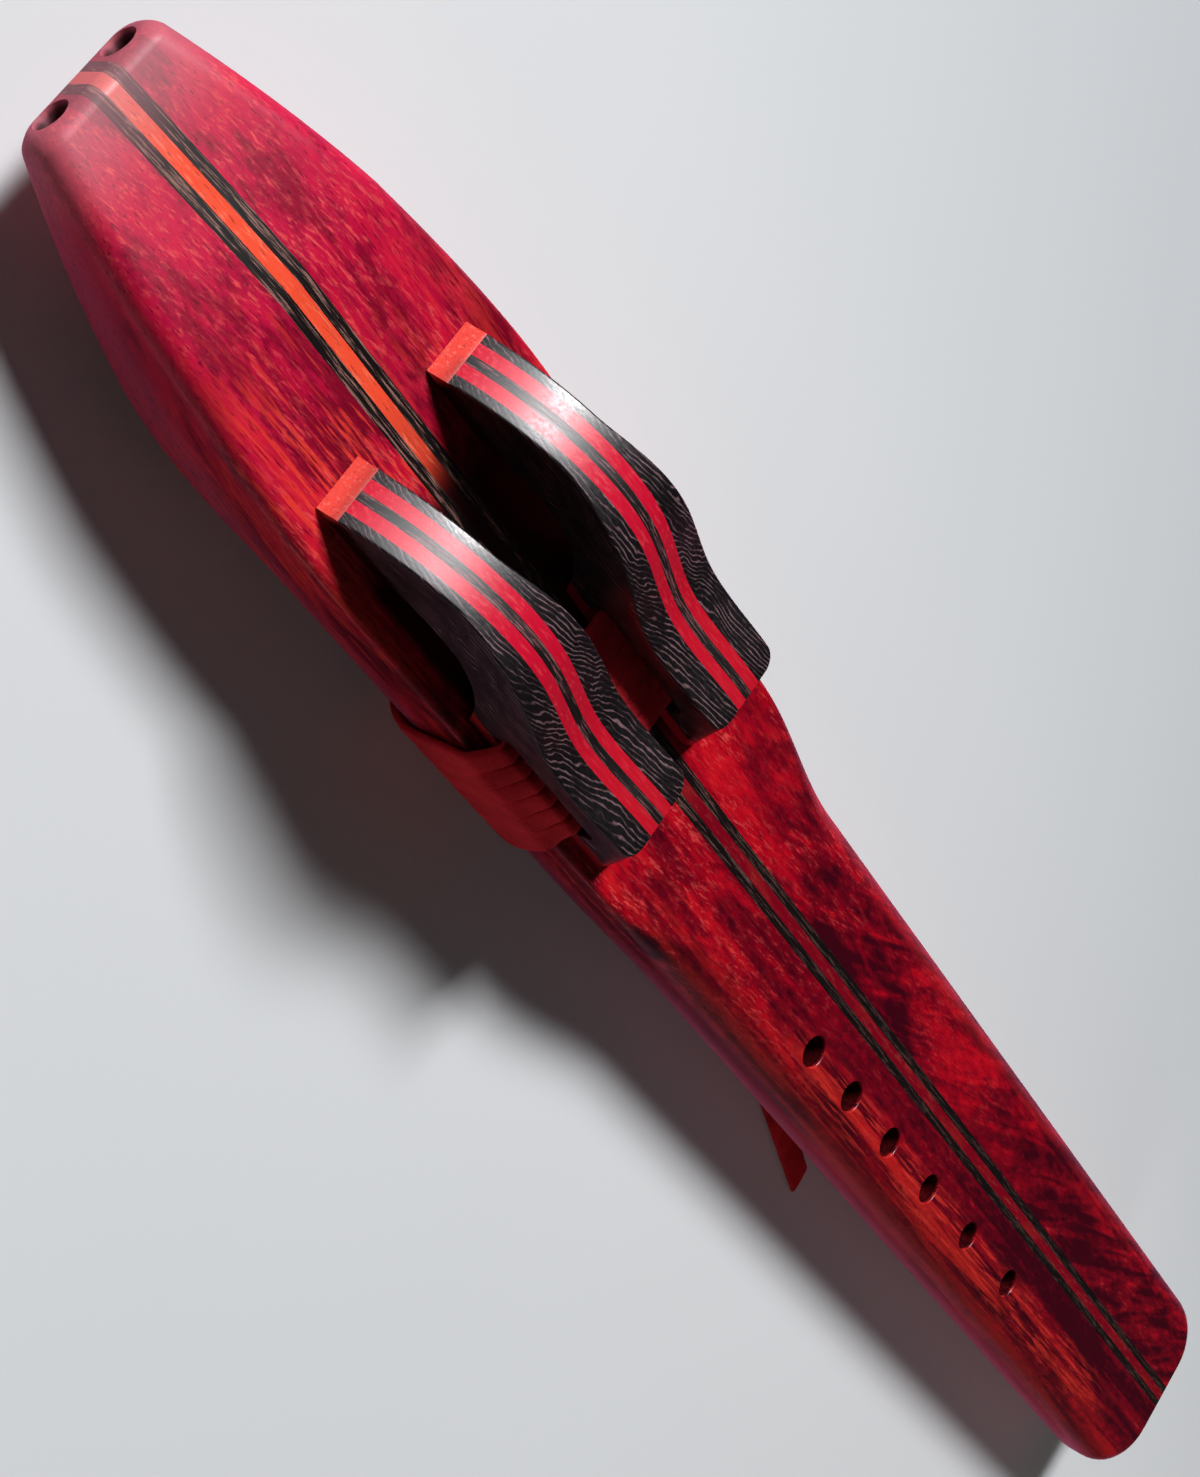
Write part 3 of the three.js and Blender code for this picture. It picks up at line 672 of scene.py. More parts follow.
    # Painted shade on the top between and under the blocks.
    painted_shade_along: Span = (-0.154, -0.078)
    painted_shade_up: Span = (0.0262, 0.0276)
    roughness: Ramp = (0.35, 0.7, 0.28, 0.36)
    relief: Triple = (0.4, 0.2, 0.00004)

    def hollow(self, bench: MaterialBench, along: Span, across: float, up: Span) -> Signal:
        """Where the wood is inside a hollow, for its painted shade.

        Args:
            bench: the material's nodes.
            along: range of X.
            across: largest distance from the middle plane.
            up: range of Z.

        Returns:
            Number that is high inside the hollow.
        """
        side = bench.math("ABSOLUTE", bench.axis("Y"))
        side = side.step(across - bench.soft_up, across, self.hollow_shade, 0.0)
        run = bench.axis("X").within(*along, self.hollow_soft)
        return side * run * bench.axis("Z").within(*up, bench.soft_up)

    def tone(self, bench: MaterialBench, grain: Signal) -> Signal:
        """Lightness of the wood: the sum of its figures and of the shades of its regions.

        Args:
            bench: the material's nodes.
            grain: lengthwise grain.

        Returns:
            Number near one half, low where the wood is dark.
        """
        x, y = bench.axis("X"), bench.axis("Y")
        drone = y.step(*self.drone_across)
        tone = bench.cloud(self.patch).about(x.step(*self.patch_along)) + 0.5
        tone += bench.cloud(self.flame).about(drone * x.step(*self.flame_along))
        tone += bench.cloud(self.mottle).about(x.step(*self.mottle_along))
        tone += bench.cloud(self.billow).about(x.step(*self.billow_along))
        tone += grain.about(drone.step(*self.grain_on_drone))
        tone += y.within(*self.heart) * x.step(*self.heart_along)
        tone += x.step(*self.foot_along)
        tone += x.within(*self.waist) * self.waist_tone
        tone += x.step(*self.mouth_along) * self.mouth_tone
        # Painted light: lighter tone on the near flank towards the foot.
        tone += y.step(*self.painted_light_flank_across) * x.step(*self.painted_light_flank_along)
        return tone.most(x.step(*self.least_along))

    def regions(self, bench: MaterialBench, tone: Signal, grain: Signal) -> Signal:
        """Colour of the stain before its fine marks.

        Args:
            bench: the material's nodes.
            tone: lightness of the wood.
            grain: lengthwise grain.

        Returns:
            The colour.
        """
        x, y, z = (bench.axis(name) for name in "XYZ")
        base = bench.ramp(tone, list(zip(self.stops, (self.wine, self.crimson, self.red, self.scarlet))))
        base = bench.blend(x.step(*self.mouth_along) * tone.step(*self.magenta_tone), base, self.magenta)
        edge = y.step(*self.melody_edge_across).most(y.step(*self.drone_edge_across))
        edge = edge * x.step(*self.edge_along) * x.step(*self.edge_end_along) * z.step(*self.edge_up)
        base = bench.blend(edge * grain.step(*self.edge_grain), base, self.edge)
        base = bench.blend(z.step(*self.plum_up), base, self.plum)
        # Painted reflection: the lower near flank is painted mauve.
        painted_reflection = z.step(*self.painted_reflection_up) * x.step(*self.painted_reflection_along) * y.step(*self.painted_reflection_across)
        return bench.blend(painted_reflection, base, self.painted_reflection)

    def strokes(self, bench: MaterialBench, base: Signal) -> Signal:
        """Colour with orange strokes along the shoulder and by the finger holes.

        Args:
            bench: the material's nodes.
            base: colour of the stain.

        Returns:
            The colour.
        """
        x, y = bench.axis("X"), bench.axis("Y")
        shoulder = x.within(*self.shoulder) * y.step(*self.shoulder_across)
        fingers = x.within(*self.fingers) * y.within(*self.finger_row) * self.finger_strokes
        fibre = bench.cloud(self.fibre).step(*self.fibre_line)
        return bench.blend(fibre * shoulder.most(fingers), base, self.stroke)

    def material(self) -> bpy.types.Material:
        """Build the material.

        Returns:
            The material.
        """
        bench = MaterialBench("figured_red_wood")
        grain, streak = bench.cloud(self.grain), bench.cloud(self.streak)
        tone = self.tone(bench, grain)
        base = self.strokes(bench, self.regions(bench, tone, grain))
        fleck = streak.step(*self.streak_line) * bench.cloud(self.crowd).step(*self.crowding)
        fleck = fleck * bench.axis("X").step(*self.fleck_along) * tone.step(*self.fleck_tone)
        base = bench.blend(fleck, base, self.fleck)
        pore = bench.cloud(self.pore).step(*self.pore_line)
        # Painted sheen at the very mouth.
        base = bench.with_painted_sheen(bench.blend(pore * self.pore_depth, base, self.wine), self.dust)
        # Painted shade between and under the blocks.
        base = bench.with_painted_shade(base, self.painted_shade_along, self.painted_shade_up)
        # Painted shade inside the bores, windways and finger holes.
        hollows = self.hollow(bench, *self.bores).most(self.hollow(bench, *self.mouths))
        lift, strength, distance = self.relief
        return bench.finish({
            "Base Color": bench.blend(hollows, base, bench.painted_shade),
            "Roughness": streak.step(*self.roughness) + bench.worn(),
            "Normal": bench.bump(streak * lift - pore, strength, distance),
            "Specular IOR Level": 0.4,
            "Sheen Weight": 0.24,
            "Sheen Roughness": 0.2,
            "Sheen Tint": self.sheen,
        })


@dataclass(frozen=True)
class ClearRed:
    """Straight red hardwood of the centre strip, the red laminates and the pads.

    The tone drifts along the length from a light end to a deep end, with fine grain streaks.
    """

    name: str
    light: Colour
    deep: Colour
    fleck: Colour
    drift_along: Span
    rough: float = 0.36
    gloss: float = 0.4
    # Painted shade between and under the blocks.
    painted_shade_along: Span = (-0.156, -0.078)
    painted_shade_up: Span = (0.0262, 0.0276)
    billow: Cloud = Cloud((60, 220, 220))
    billow_strength: float = 0.6
    streak: Cloud = Cloud((260, 1900, 1900), 3.0)
    streak_line: Ramp = (0.54, 0.7, 0.0, 0.55)
    streak_drift: Ramp = (0.2, 1.0, 1.0, 0.15)
    streak_rough: Ramp = (0.35, 0.7, -0.06, 0.08)
    pore: Cloud = Cloud((300, 3400, 3400), 2.0)
    pore_line: Span = (0.6, 0.68)
    pore_depth: float = 0.5
    # Amount of the painted sheen at the very mouth.
    dust: float = 0.5
    relief: Triple = (0.4, 0.15, 0.00003)

    def material(self) -> bpy.types.Material:
        """Build the material.

        Returns:
            The material.
        """
        bench = MaterialBench(self.name)
        drift = bench.axis("X").step(*self.drift_along)
        place = drift + bench.cloud(self.billow).about(self.billow_strength)
        base = bench.ramp(place, [(0.0, self.light), (1.0, self.deep)])
        streak = bench.cloud(self.streak)
        fleck = streak.step(*self.streak_line) * drift.step(*self.streak_drift)
        pore = bench.cloud(self.pore).step(*self.pore_line)
        base = bench.blend(pore * self.pore_depth, bench.blend(fleck, base, self.fleck), self.deep)
        lift, strength, distance = self.relief
        return bench.finish({
            # Painted sheen at the very mouth and painted shade between and under the blocks.
            "Base Color": bench.with_painted_shade(bench.with_painted_sheen(base, self.dust), self.painted_shade_along, self.painted_shade_up),
            "Roughness": streak.step(*self.streak_rough) + self.rough,
            "Normal": bench.bump(streak * lift - pore, strength, distance),
            "Specular IOR Level": self.gloss,
        })


@dataclass(frozen=True)
class DarkStreaks:
    """Near-black hardwood cut along its grain: broken pale streaks down the length."""

    name: str
    ground: Colour = srgb(18, 11, 12)
    line: Colour = srgb(158, 116, 106)
    gloss: float = 0.3
    streak: Cloud = Cloud((105, 2700, 320), 3.0, 0.55, 0.7)
    streak_line: Span = (0.52, 0.6)
    streak_along: Ramp = (-0.15, 0.0, 0.75, 0.15)
    fine: Cloud = Cloud((420, 3600, 900), 2.0, 0.6)
    # Amount of the painted sheen at the very mouth.
    breaks: Ramp = (0.36, 0.54, 0.1, 1.0)
    dust: float = 0.35
    roughness: Ramp = (0.3, 0.7, 0.36, 0.5)
    relief: Triple = (0.5, 0.25, 0.00004)

    def material(self) -> bpy.types.Material:
        """Build the material.

        Returns:
            The material.
        """
        bench = MaterialBench(self.name)
        streak, fine = bench.cloud(self.streak), bench.cloud(self.fine)
        line = streak.step(*self.streak_line) * fine.step(*self.breaks)
        line = line * bench.axis("X").step(*self.streak_along)
        lift, strength, distance = self.relief
        return bench.finish({
            # Painted sheen at the very mouth.
            "Base Color": bench.with_painted_sheen(bench.blend(line, self.ground, self.line), self.dust),
            "Roughness": streak.step(*self.roughness) + bench.worn(),
            "Normal": bench.bump(streak + fine * lift, strength, distance),
            "Specular IOR Level": self.gloss,
        })


@dataclass(frozen=True)
class DarkGrain:
    """Near-black hardwood of the block sides, with thin brown growth lines.

    The lines are thin layers stacked in one direction and bent by noise, so a curved cut through
    them shows as contours and swirls.
    """

    name: str
    ground: Colour = srgb(14, 9, 12)
    line: Colour = srgb(128, 98, 104)
    gloss: float = 0.9
    spacing: float = 0.62
    lean: Triple = (48.0, 8.0, 0.0)
    bend: Cloud = Cloud((46, 120, 120), 3.5, 0.55, 0.4)
    swirl: float = 7.0
    line_edge: Span = (0.3, 0.48)
    fine: Cloud = Cloud((900, 2600, 2600), 3.0, 0.6)
    ragged: float = 0.3
    strength: Cloud = Cloud((170, 420, 420), 3.0, 0.6)
    faint: Ramp = (0.38, 0.62, 0.08, 1.0)
    roughness: Ramp = (0.3, 0.7, 0.31, 0.42)
    relief: Triple = (-0.6, 0.3, 0.00005)

    def material(self) -> bpy.types.Material:
        """Build the material.

        Returns:
            The material.
        """
        bench = MaterialBench(self.name)
        height = bench.axis("Z", bench.mapped((1.0 / (self.spacing * MM),) * 3, self.lean))
        ridge = bench.math("PINGPONG", height + bench.cloud(self.bend) * self.swirl, 0.5)
        fine = bench.cloud(self.fine)
        line = (ridge + fine.about(self.ragged)).step(*self.line_edge)
        line = line * bench.cloud(self.strength).step(*self.faint)
        lift, strength, distance = self.relief
        return bench.finish({
            "Base Color": bench.blend(line, self.ground, self.line),
            "Roughness": fine.step(*self.roughness),
            "Normal": bench.bump(ridge * lift + fine, strength, distance),
            "Specular IOR Level": self.gloss,
        })


@dataclass(frozen=True)
class Suede:
    """Dark red suede with a short nap and rubbed patches."""

    deep: Colour = srgb(162, 15, 32)
    rubbed: Colour = srgb(224, 45, 54)
    sheen: Colour = srgb(220, 90, 95)
    stops: Span = (0.36, 0.64)
    patch: Cloud = Cloud((120, 120, 120), rough=0.6)
    nap: Cloud = Cloud((2600, 2600, 2600), 3.0, 0.7)
    nap_share: float = 0.4
    relief: Span = (0.5, 0.0002)

    def material(self) -> bpy.types.Material:
        """Build the material.

        Returns:
            The material.
        """
        bench = MaterialBench("red_suede")
        nap = bench.cloud(self.nap)
        tone = bench.cloud(self.patch) * (1.0 - self.nap_share) + nap * self.nap_share
        return bench.finish({
            "Base Color": bench.ramp(tone, list(zip(self.stops, (self.deep, self.rubbed)))),
            "Normal": bench.bump(nap, *self.relief),
            "Roughness": 0.95,
            "Specular IOR Level": 0.2,
            "Sheen Weight": 0.35,
            "Sheen Roughness": 0.5,
            "Sheen Tint": self.sheen,
        })


class Finishes:
    """Every finish of the flute, made once."""

    def __init__(self) -> None:
        """Build the materials."""
        self.body = FiguredRed().material()
        self.centre = ClearRed(
            "centre_strip_red", srgb(248, 82, 52), srgb(122, 2, 24), srgb(255, 134, 100), (-0.17, -0.132)
        ).material()
        self.laminate = ClearRed(
            "laminate_red", srgb(214, 10, 52), srgb(196, 16, 36), srgb(236, 66, 76), (-0.16, -0.07), gloss=0.9
        ).material()
        # The pads get painted shade near the front of the arch, over their whole height.
        self.pad = ClearRed(
            "pad_red", srgb(242, 78, 68), srgb(150, 10, 28), srgb(252, 136, 118), (-0.158, -0.12),
            painted_shade_along=(-0.1625, -0.14), painted_shade_up=(0.026, 0.0312),
        ).material()
        self.strip_dark = DarkStreaks("strip_dark_wood").material()
        self.middle_dark = DarkStreaks("middle_dark_wood", line=srgb(150, 96, 100), gloss=0.9).material()
        self.block_dark = DarkGrain("block_dark_wood").material()
        self.suede = Suede().material()


def dress(
    obj: bpy.types.Object, material: bpy.types.Material, body: str, nodes: Sequence[str]
) -> None:
    """Give a piece its finish and hand it to the frame.

    Args:
        obj: the piece.
        material: its finish.
        body: body that it rides on.
        nodes: solids that it stands for.
    """
    obj.data.materials.clear()
    obj.data.materials.append(material)
    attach(obj, body)
    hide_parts(*nodes)
    LOG.info("%s: %d faces, on %s, for %s", obj.name, len(obj.data.polygons), body, ", ".join(nodes))


@dataclass
class Section:
    """Cross-section of the body: half width, top, bottom and corner radii along its length."""

    half: Array
    top: Array
    bottom: Array
    top_round: Array
    top_wide: Array
    low_round: Array


@dataclass
class FluteBody:
    """Both tubes and the three strips between them, cut from one form."""

    length: float = 440.0
    height: float = 25.0
    belly: float = 2.1
    mouth_half: float = 11.5
    shoulder_half: float = 24.0
    waist_half: float = 22.9
    foot_half: float = 24.8
    shoulder_at: float = 78.0
    hip_at: float = 150.0
    waist_at: float = 190.0
    taper_fullness: float = 2.05
    dip_from: float = 34.0
    mouth_dip: float = 6.4
    dip_curve: float = 1.13
    rise_from: float = 60.0
    mouth_rise: float = 10.1
    rise_curve: float = 1.5
    nose_edge: float = 2.0
    nose_corner: float = 2.0
    top_rounds: Triple = (3.6, 1.0, 9.0)
    belly_rounds: Triple = (3.8, 14.5, 13.0)
    round_change: Span = (34.0, 74.0)
    foot_corner: float = 5.0
    foot_corner_run: float = 10.0
    foot_top_corner: float = 8.0
    top_round_share: float = 0.4
    least_flank: float = 0.8
    foot_edge: float = 2.2
    ring_step: float = 1.6
    centre_half: float = 1.09
    strips_half: float = 2.96
    tube_offset: float = 12.7
    bore: float = 14.0
    bore_from: float = 67.0
    chamber: float = 12.0
    chamber_from: float = 29.0
    chamber_to: float = 62.0
    blow_hole: float = 5.0
    blow_offset: float = 6.5
    blow_rim: float = 0.3
    blow_rim_run: float = 1.0
    blow_depth: float = 10.7
    exit_length: float = 3.2
    flue_width: float = 6.0
    flue_depth: float = 1.0
    flue_lap: float = 0.05
    sound_at: float = 69.4
    sound_length: float = 6.0
    undercut: float = 5.0
    finger_hole: float = 6.4
    finger_round: float = 0.4
    finger_levels: Span = (-9.0, -4.0)
    finger_first: float = 220.6
    finger_space: float = 18.8
    finger_growth: float = 1.09
    finger_count: int = 6
    overcut: float = 5.0
    name: str = "flute_body"

    @property
    def x_mouth(self) -> float:
        """X of the mouth."""
        return -self.length / 2

    @property
    def top(self) -> float:
        """Z of the flat top face."""
        return self.belly + self.height

    @property
    def middle(self) -> float:
        """Z half way up the body."""
        return self.belly + self.height / 2

    def half_width(self, at: Array) -> Array:
        """Half width along the length.

        A power curve fills out from the mouth to the shoulder, an eased step draws in to the
        waist and a straight line opens to the foot.

        Args:
            at: distances from the mouth.

        Returns:
            Half widths before the ends are rounded.
        """
        left = (1.0 - share(at, 0.0, self.shoulder_at)) ** self.taper_fullness
        front = mix(self.shoulder_half, self.mouth_half, left)
        hip = mix(self.shoulder_half, self.waist_half, ease(at, self.hip_at, self.waist_at))
        foot = mix(self.waist_half, self.foot_half, share(at, self.waist_at, self.length))
        return np.where(at < self.shoulder_at, front, np.where(at < self.waist_at, hip, foot))

    def along(self, at: Array, values: Triple) -> Array:
        """Value that eases from mouth to blocks and on from blocks to foot."""
        front = mix(values[0], values[1], ease(at, *self.round_change))
        return mix(front, values[2], ease(at, self.hip_at, self.waist_at))

    def section(self, at: Array) -> Section:
        """Sizes of the section: the top dips and the belly rises to the mouth, both ends are rounded.

        Args:
            at: distances from the mouth.

        Returns:
            The section at each distance.
        """
        to_foot = self.length - at
        dip = self.mouth_dip * (1.0 - share(at, 0.0, self.dip_from)) ** self.dip_curve
        rise = self.mouth_rise * (1.0 - share(at, 0.0, self.rise_from)) ** self.rise_curve
        ends = fall_back(at, self.nose_edge, self.nose_edge)
        ends = ends + fall_back(to_foot, self.foot_edge, self.foot_edge)
        corner = fall_back(at, self.nose_corner, self.nose_corner)
        corner = corner + fall_back(to_foot, self.foot_corner_run, self.foot_corner)
        top = self.top - dip - ends
        bottom = self.belly + rise + ends
        top_round = np.minimum(self.along(at, self.top_rounds), (top - bottom) * self.top_round_share)
        top_wide = top_round + fall_back(to_foot, self.foot_corner_run, self.foot_top_corner)
        room = top - bottom - top_round - self.least_flank
        low_round = np.minimum(self.along(at, self.belly_rounds), room)
        return Section(self.half_width(at) - corner, top, bottom, top_round, top_wide, low_round)

    def stations(self) -> Array:
        """Distances from the mouth, as a column: close together at the rounded ends.

        Returns:
            The distances.
        """
        quarter = 1.0 - np.cos(quarter_turn(22))
        front = self.nose_corner * quarter
        back = self.length - self.foot_corner_run * quarter[::-1]
        front_half = np.arange(self.nose_corner, self.waist_at, self.ring_step)[1:]
        rest = np.linspace(self.waist_at, self.length - self.foot_corner_run, 60)[:-1]
        return np.concatenate([front, front_half, rest, back])[:, None]

    def tube_rings(self, side: Side) -> Array:
        """Rings of one tube: top run, top corner, flank, belly corner, belly run, inner wall.

        Args:
            side: which tube.

        Returns:
            Array of stations by ring points by 3.
        """
        at = self.stations()
        part = self.section(at)
        half, top, bottom = part.half, part.top, part.bottom
        high, low = top - part.top_round, bottom + part.low_round
        top_edge, low_edge = half - part.top_wide, half - part.low_round
        run = np.linspace(0.0, 1.0, 12)[None, :-1]
        inside = np.linspace(0.0, 1.0, 8)[None, 1:-1]
        up = np.linspace(0.0, 1.0, 7)[None, :-1]
        bend, low_bend = quarter_turn(12)[None], quarter_turn(18)[None]
        runs = [
            (mix(self.strips_half, top_edge, run), top + 0 * run),
            (top_edge + part.top_wide * np.sin(bend), high + part.top_round * np.cos(bend)),
            (half + 0 * inside, mix(high, low, inside)),
            (low_edge + part.low_round * np.cos(low_bend), low - part.low_round * np.sin(low_bend)),
            (mix(low_edge, self.strips_half, run[:, 1:]), bottom + 0 * run[:, 1:]),
            (self.strips_half + 0 * (bottom + up), mix(bottom, top, up)),
        ]
        y, z = (np.concatenate(group, axis=1) for group in zip(*runs))
        return spread_points(self.x_mouth + at, y * side.value, z)

    def strip_rings(self, start: float, stop: float) -> Array:
        """Rings of one strip: the rectangle between two Y planes, top and belly.

        Args:
            start: Y of one plane.
            stop: Y of the other plane.

        Returns:
            Array of stations by 4 by 3.
        """
        at = self.stations()
        part = self.section(at)
        z = np.concatenate([part.bottom, part.bottom, part.top, part.top], axis=1)
        return spread_points(self.x_mouth + at, np.array([start, stop, stop, start]), z)

    def windway(self, side: Side) -> Shell:
        """Blow hole: a circle carried along X that eases out to the axis of the chamber.

        Args:
            side: which tube.

        Returns:
            The closed hollow.
        """
        at = np.linspace(-self.overcut, self.chamber_from + self.chamber / 2, 40)[:, None]
        swing = ease(at, self.nose_corner + self.overcut, self.chamber_from)
        y = side.value * mix(self.blow_offset, self.tube_offset, swing)
        z = mix(self.top - self.blow_depth, self.middle, swing)
        flare = self.blow_hole / 2 + self.blow_rim * (1.0 - share(at, 0.0, self.blow_rim_run)) ** 2
        turn = full_turn(40)
        return loft(spread_points(self.x_mouth + at, y + flare * np.cos(turn), z + flare * np.sin(turn)))

    def sound_hole(self, y: float) -> Shell:
        """Sound hole: a trapezium in X and Z, undercut at its far edge, carried across Y.

        Args:
            y: Y of its middle.

        Returns:
            The closed hollow.
        """
        start = self.x_mouth + self.sound_at
        stop = start + self.sound_length
        sky = self.top + self.overcut
        x = np.array([start, stop + self.undercut, stop, stop, start])
        z = np.array([self.middle, self.middle, self.top - self.flue_depth / 2, sky, sky])
        return loft(spread_points(x, y + np.array([[-0.5], [0.5]]) * self.flue_width, z))

    def finger_holes(self) -> list[Shell]:
        """Drilled holes with softened rims: circles up Z whose radius grows on a quarter circle.

        Returns:
            The closed hollows, from the mouth on.
        """
        swell, rim = quarter_turn(7), self.finger_round
        growth = np.concatenate([[0.0, 0.0], rim * (1.0 - np.cos(swell)), [rim * 2]])
        level = np.concatenate([self.finger_levels, rim * (np.sin(swell) - 1.0), [rim]])[:, None]
        radius = (self.finger_hole / 2 + growth)[:, None]
        gaps = self.finger_space * self.finger_growth ** np.arange(self.finger_count - 1)
        places = self.finger_first + np.concatenate([[0.0], np.cumsum(gaps)])
        turn = full_turn(48)
        x, y = radius * np.cos(turn), Side.MELODY.value * self.tube_offset + radius * np.sin(turn)
        return [loft(spread_points(self.x_mouth + place + x, y, self.top + level)) for place in places]

    def air(self, side: Side) -> list[Shell]:
        """Everything that is hollow in one tube.

        Args:
            side: which tube.

        Returns:
            Closed shells.
        """
        y = side.value * self.tube_offset
        near, far = y - self.flue_width / 2, y + self.flue_width / 2
        exit_to = self.x_mouth + self.chamber_to
        exit_from = exit_to - self.exit_length
        flue_to = self.x_mouth + self.sound_at + self.flue_lap
        foot = -self.x_mouth + self.overcut
        sky = self.top + self.overcut
        shells = [
            self.windway(side),
            bar_along_x(self.chamber, self.x_mouth + self.chamber_from, exit_to, y, self.middle),
            bar_along_x(self.bore, self.x_mouth + self.bore_from, foot, y, self.middle),
            box((exit_from, near, self.middle), (exit_to, far, sky)),
            box((exit_from, near, self.top - self.flue_depth), (flue_to, far, sky)),
            self.sound_hole(y),
        ]
        return shells + (self.finger_holes() if side is Side.MELODY else [])

    def build(self, finishes: Finishes) -> None:
        """Make and dress the tubes and the strips.

        Args:
            finishes: the finishes to use.
        """
        for side in Side:
            tube = mesh_object(f"{side.label}_tube", loft(self.tube_rings(side)))
            cut(tube, self.air(side))
            nodes = (f"{side.label}_tube_upper", f"{side.label}_tube_lower")
            dress(tube, finishes.body, self.name, nodes)
            edges = sorted((side.value * self.centre_half, side.value * self.strips_half))
            strip = mesh_object(f"{side.label}_strip", loft(self.strip_rings(*edges)))
            dress(strip, finishes.strip_dark, self.name, (f"{side.label}_dark_strip",))
        centre = mesh_object("middle_strip", loft(self.strip_rings(-self.centre_half, self.centre_half)))
        dress(centre, finishes.centre, self.name, ("centre_strip",))


@dataclass
class Block:
    """Laminated block over one sound hole: five laminates on two pads.

    Lengths run from its toe, heights from its foot.
    """

    side: Side
    toe_x: float = -163.1
    foot_z: float = 27.3
    offset: float = 12.7
    length: float = 86.5
    toe_run: float = 2.0
    toe_tip: float = 0.02
    pad: float = 3.0
    hump: Span = (29.5, 19.0)
    saddle: Span = (58.5, 12.1)
    tail: Span = (76.8, 13.4)
    heel: float = 0.8
    front_pull: Span = (6.0, 9.0)
    hump_fullness: float = 11.5
    back_fullness: float = 10.5
    tail_fullness: float = 7.5
    neck_half: float = 4.7
    neck_to: float = 16.0
    neck_fullness: float = 5.0
    flare_half: float = 8.3
    flare_at: float = 50.0
    flare_fullness: float = 17.0
    arch: Span = (12.5, 44.0)
    arch_crest: Span = (29.0, 8.6)
    arch_front: Span = (5.5, 2.0)
    arch_back: Span = (4.0, 4.5)
    crest_pulls: Span = (4.5, 7.0)
    slot_middle: float = 60.4
    slot_length: float = 26.7
    slot_height: float = 4.1
    slot_corner: float = 1.4
    slot_gap: float = 0.002
    middle_half: float = 0.8
    red_to: float = 2.95
    edge_round: float = 0.45
    tail_corner: float = 3.0
    grid_step: float = 0.3
    close_run: float = 1.5
    profile: Array = field(init=False)
    arch_line: Array = field(init=False)
    plan_line: Array = field(init=False)

    def __post_init__(self) -> None:
        """Work out the top line, the arch and the plan as dense rows of points on cubic curves."""
        (hump_x, hump_z), (low_x, low_z), (tail_x, tail_z) = self.hump, self.saddle, self.tail
        toe = (self.toe_run, self.pad)
        rise = (toe[0] + self.front_pull[0], toe[1] + self.front_pull[1])
        over = (hump_x - self.hump_fullness, hump_z)
        back = (hump_x + self.back_fullness, hump_z), (low_x - self.back_fullness, low_z)
        tail = (low_x + self.tail_fullness, low_z), (tail_x - self.tail_fullness, tail_z)
        self.profile = np.concatenate([
            [[0.0, 0.0]],
            bezier([toe, rise, over, self.hump], 80),
            bezier([self.hump, *back, self.saddle], 80)[1:],
            bezier([self.saddle, *tail, self.tail], 60)[1:],
            [[self.length, self.heel]],
        ])
        (start, stop), (crest_x, crest_z) = self.arch, self.arch_crest
        front = (start + self.arch_front[0], self.arch_front[1]), (crest_x - self.crest_pulls[0], crest_z)
        rear = (crest_x + self.crest_pulls[1], crest_z), (stop - self.arch_back[0], self.arch_back[1])
        self.arch_line = np.concatenate([
            bezier([(start, 0.0), *front, self.arch_crest], 60),
            bezier([self.arch_crest, *rear, (stop, 0.0)], 60)[1:],
        ])
        neck = (self.neck_to, self.neck_half), (self.neck_to + self.neck_fullness, self.neck_half)
        flare = (self.flare_at - self.flare_fullness, self.flare_half), (self.flare_at, self.flare_half)
        self.plan_line = bezier([*neck, *flare], 80)

    @property
    def slot_ends(self) -> Array:
        """Where the lace slot starts and ends."""
        return self.slot_middle + np.array([-0.5, 0.5]) * self.slot_length

    def upper(self, x: Array) -> Array:
        """Height of the top line."""
        return np.interp(x, self.profile[:, 0], self.profile[:, 1])

    def under(self, x: Array) -> Array:
        """Height of the arch, and 0 where the block stands on the body."""
        return np.interp(x, self.arch_line[:, 0], self.arch_line[:, 1], left=0.0, right=0.0)

    def end_x(self, z: Array) -> Array:
        """Where the sloping tail ends at a height."""
        return np.interp(z, [self.heel, self.tail[1]], [self.length, self.tail[0]])

    def wall(self, plane: float, x: Array, z: Array) -> Array:
        """Y of an upright plane, held inside the outline.

        The outline is the plan curve, drawn in on a quarter circle at the tail's corner.

        Args:
            plane: Y of the plane, or an infinite value for the outside.
            x: distances from the toe.
            z: heights.

        Returns:
            Y from the block's middle.
        """
        plan = np.interp(x, self.plan_line[:, 0], self.plan_line[:, 1])
        half = plan - fall_back(self.end_x(z) - x, self.tail_corner, self.tail_corner)
        return np.clip(plane, -half, half)

    def slot_roof(self, x: Array, floor: Array) -> Array:
        """Lower line with the lace slot: a flat roof with rounded corners over the pad.

        Args:
            x: distances from the toe.
            floor: lower line elsewhere.

        Returns:
            Heights.
        """
        start, stop = self.slot_ends
        near = np.minimum(x - start, stop - x)
        roof = self.pad + self.slot_height - fall_back(near, self.slot_corner, self.slot_corner)
        return np.where(near >= 0.0, roof, floor)

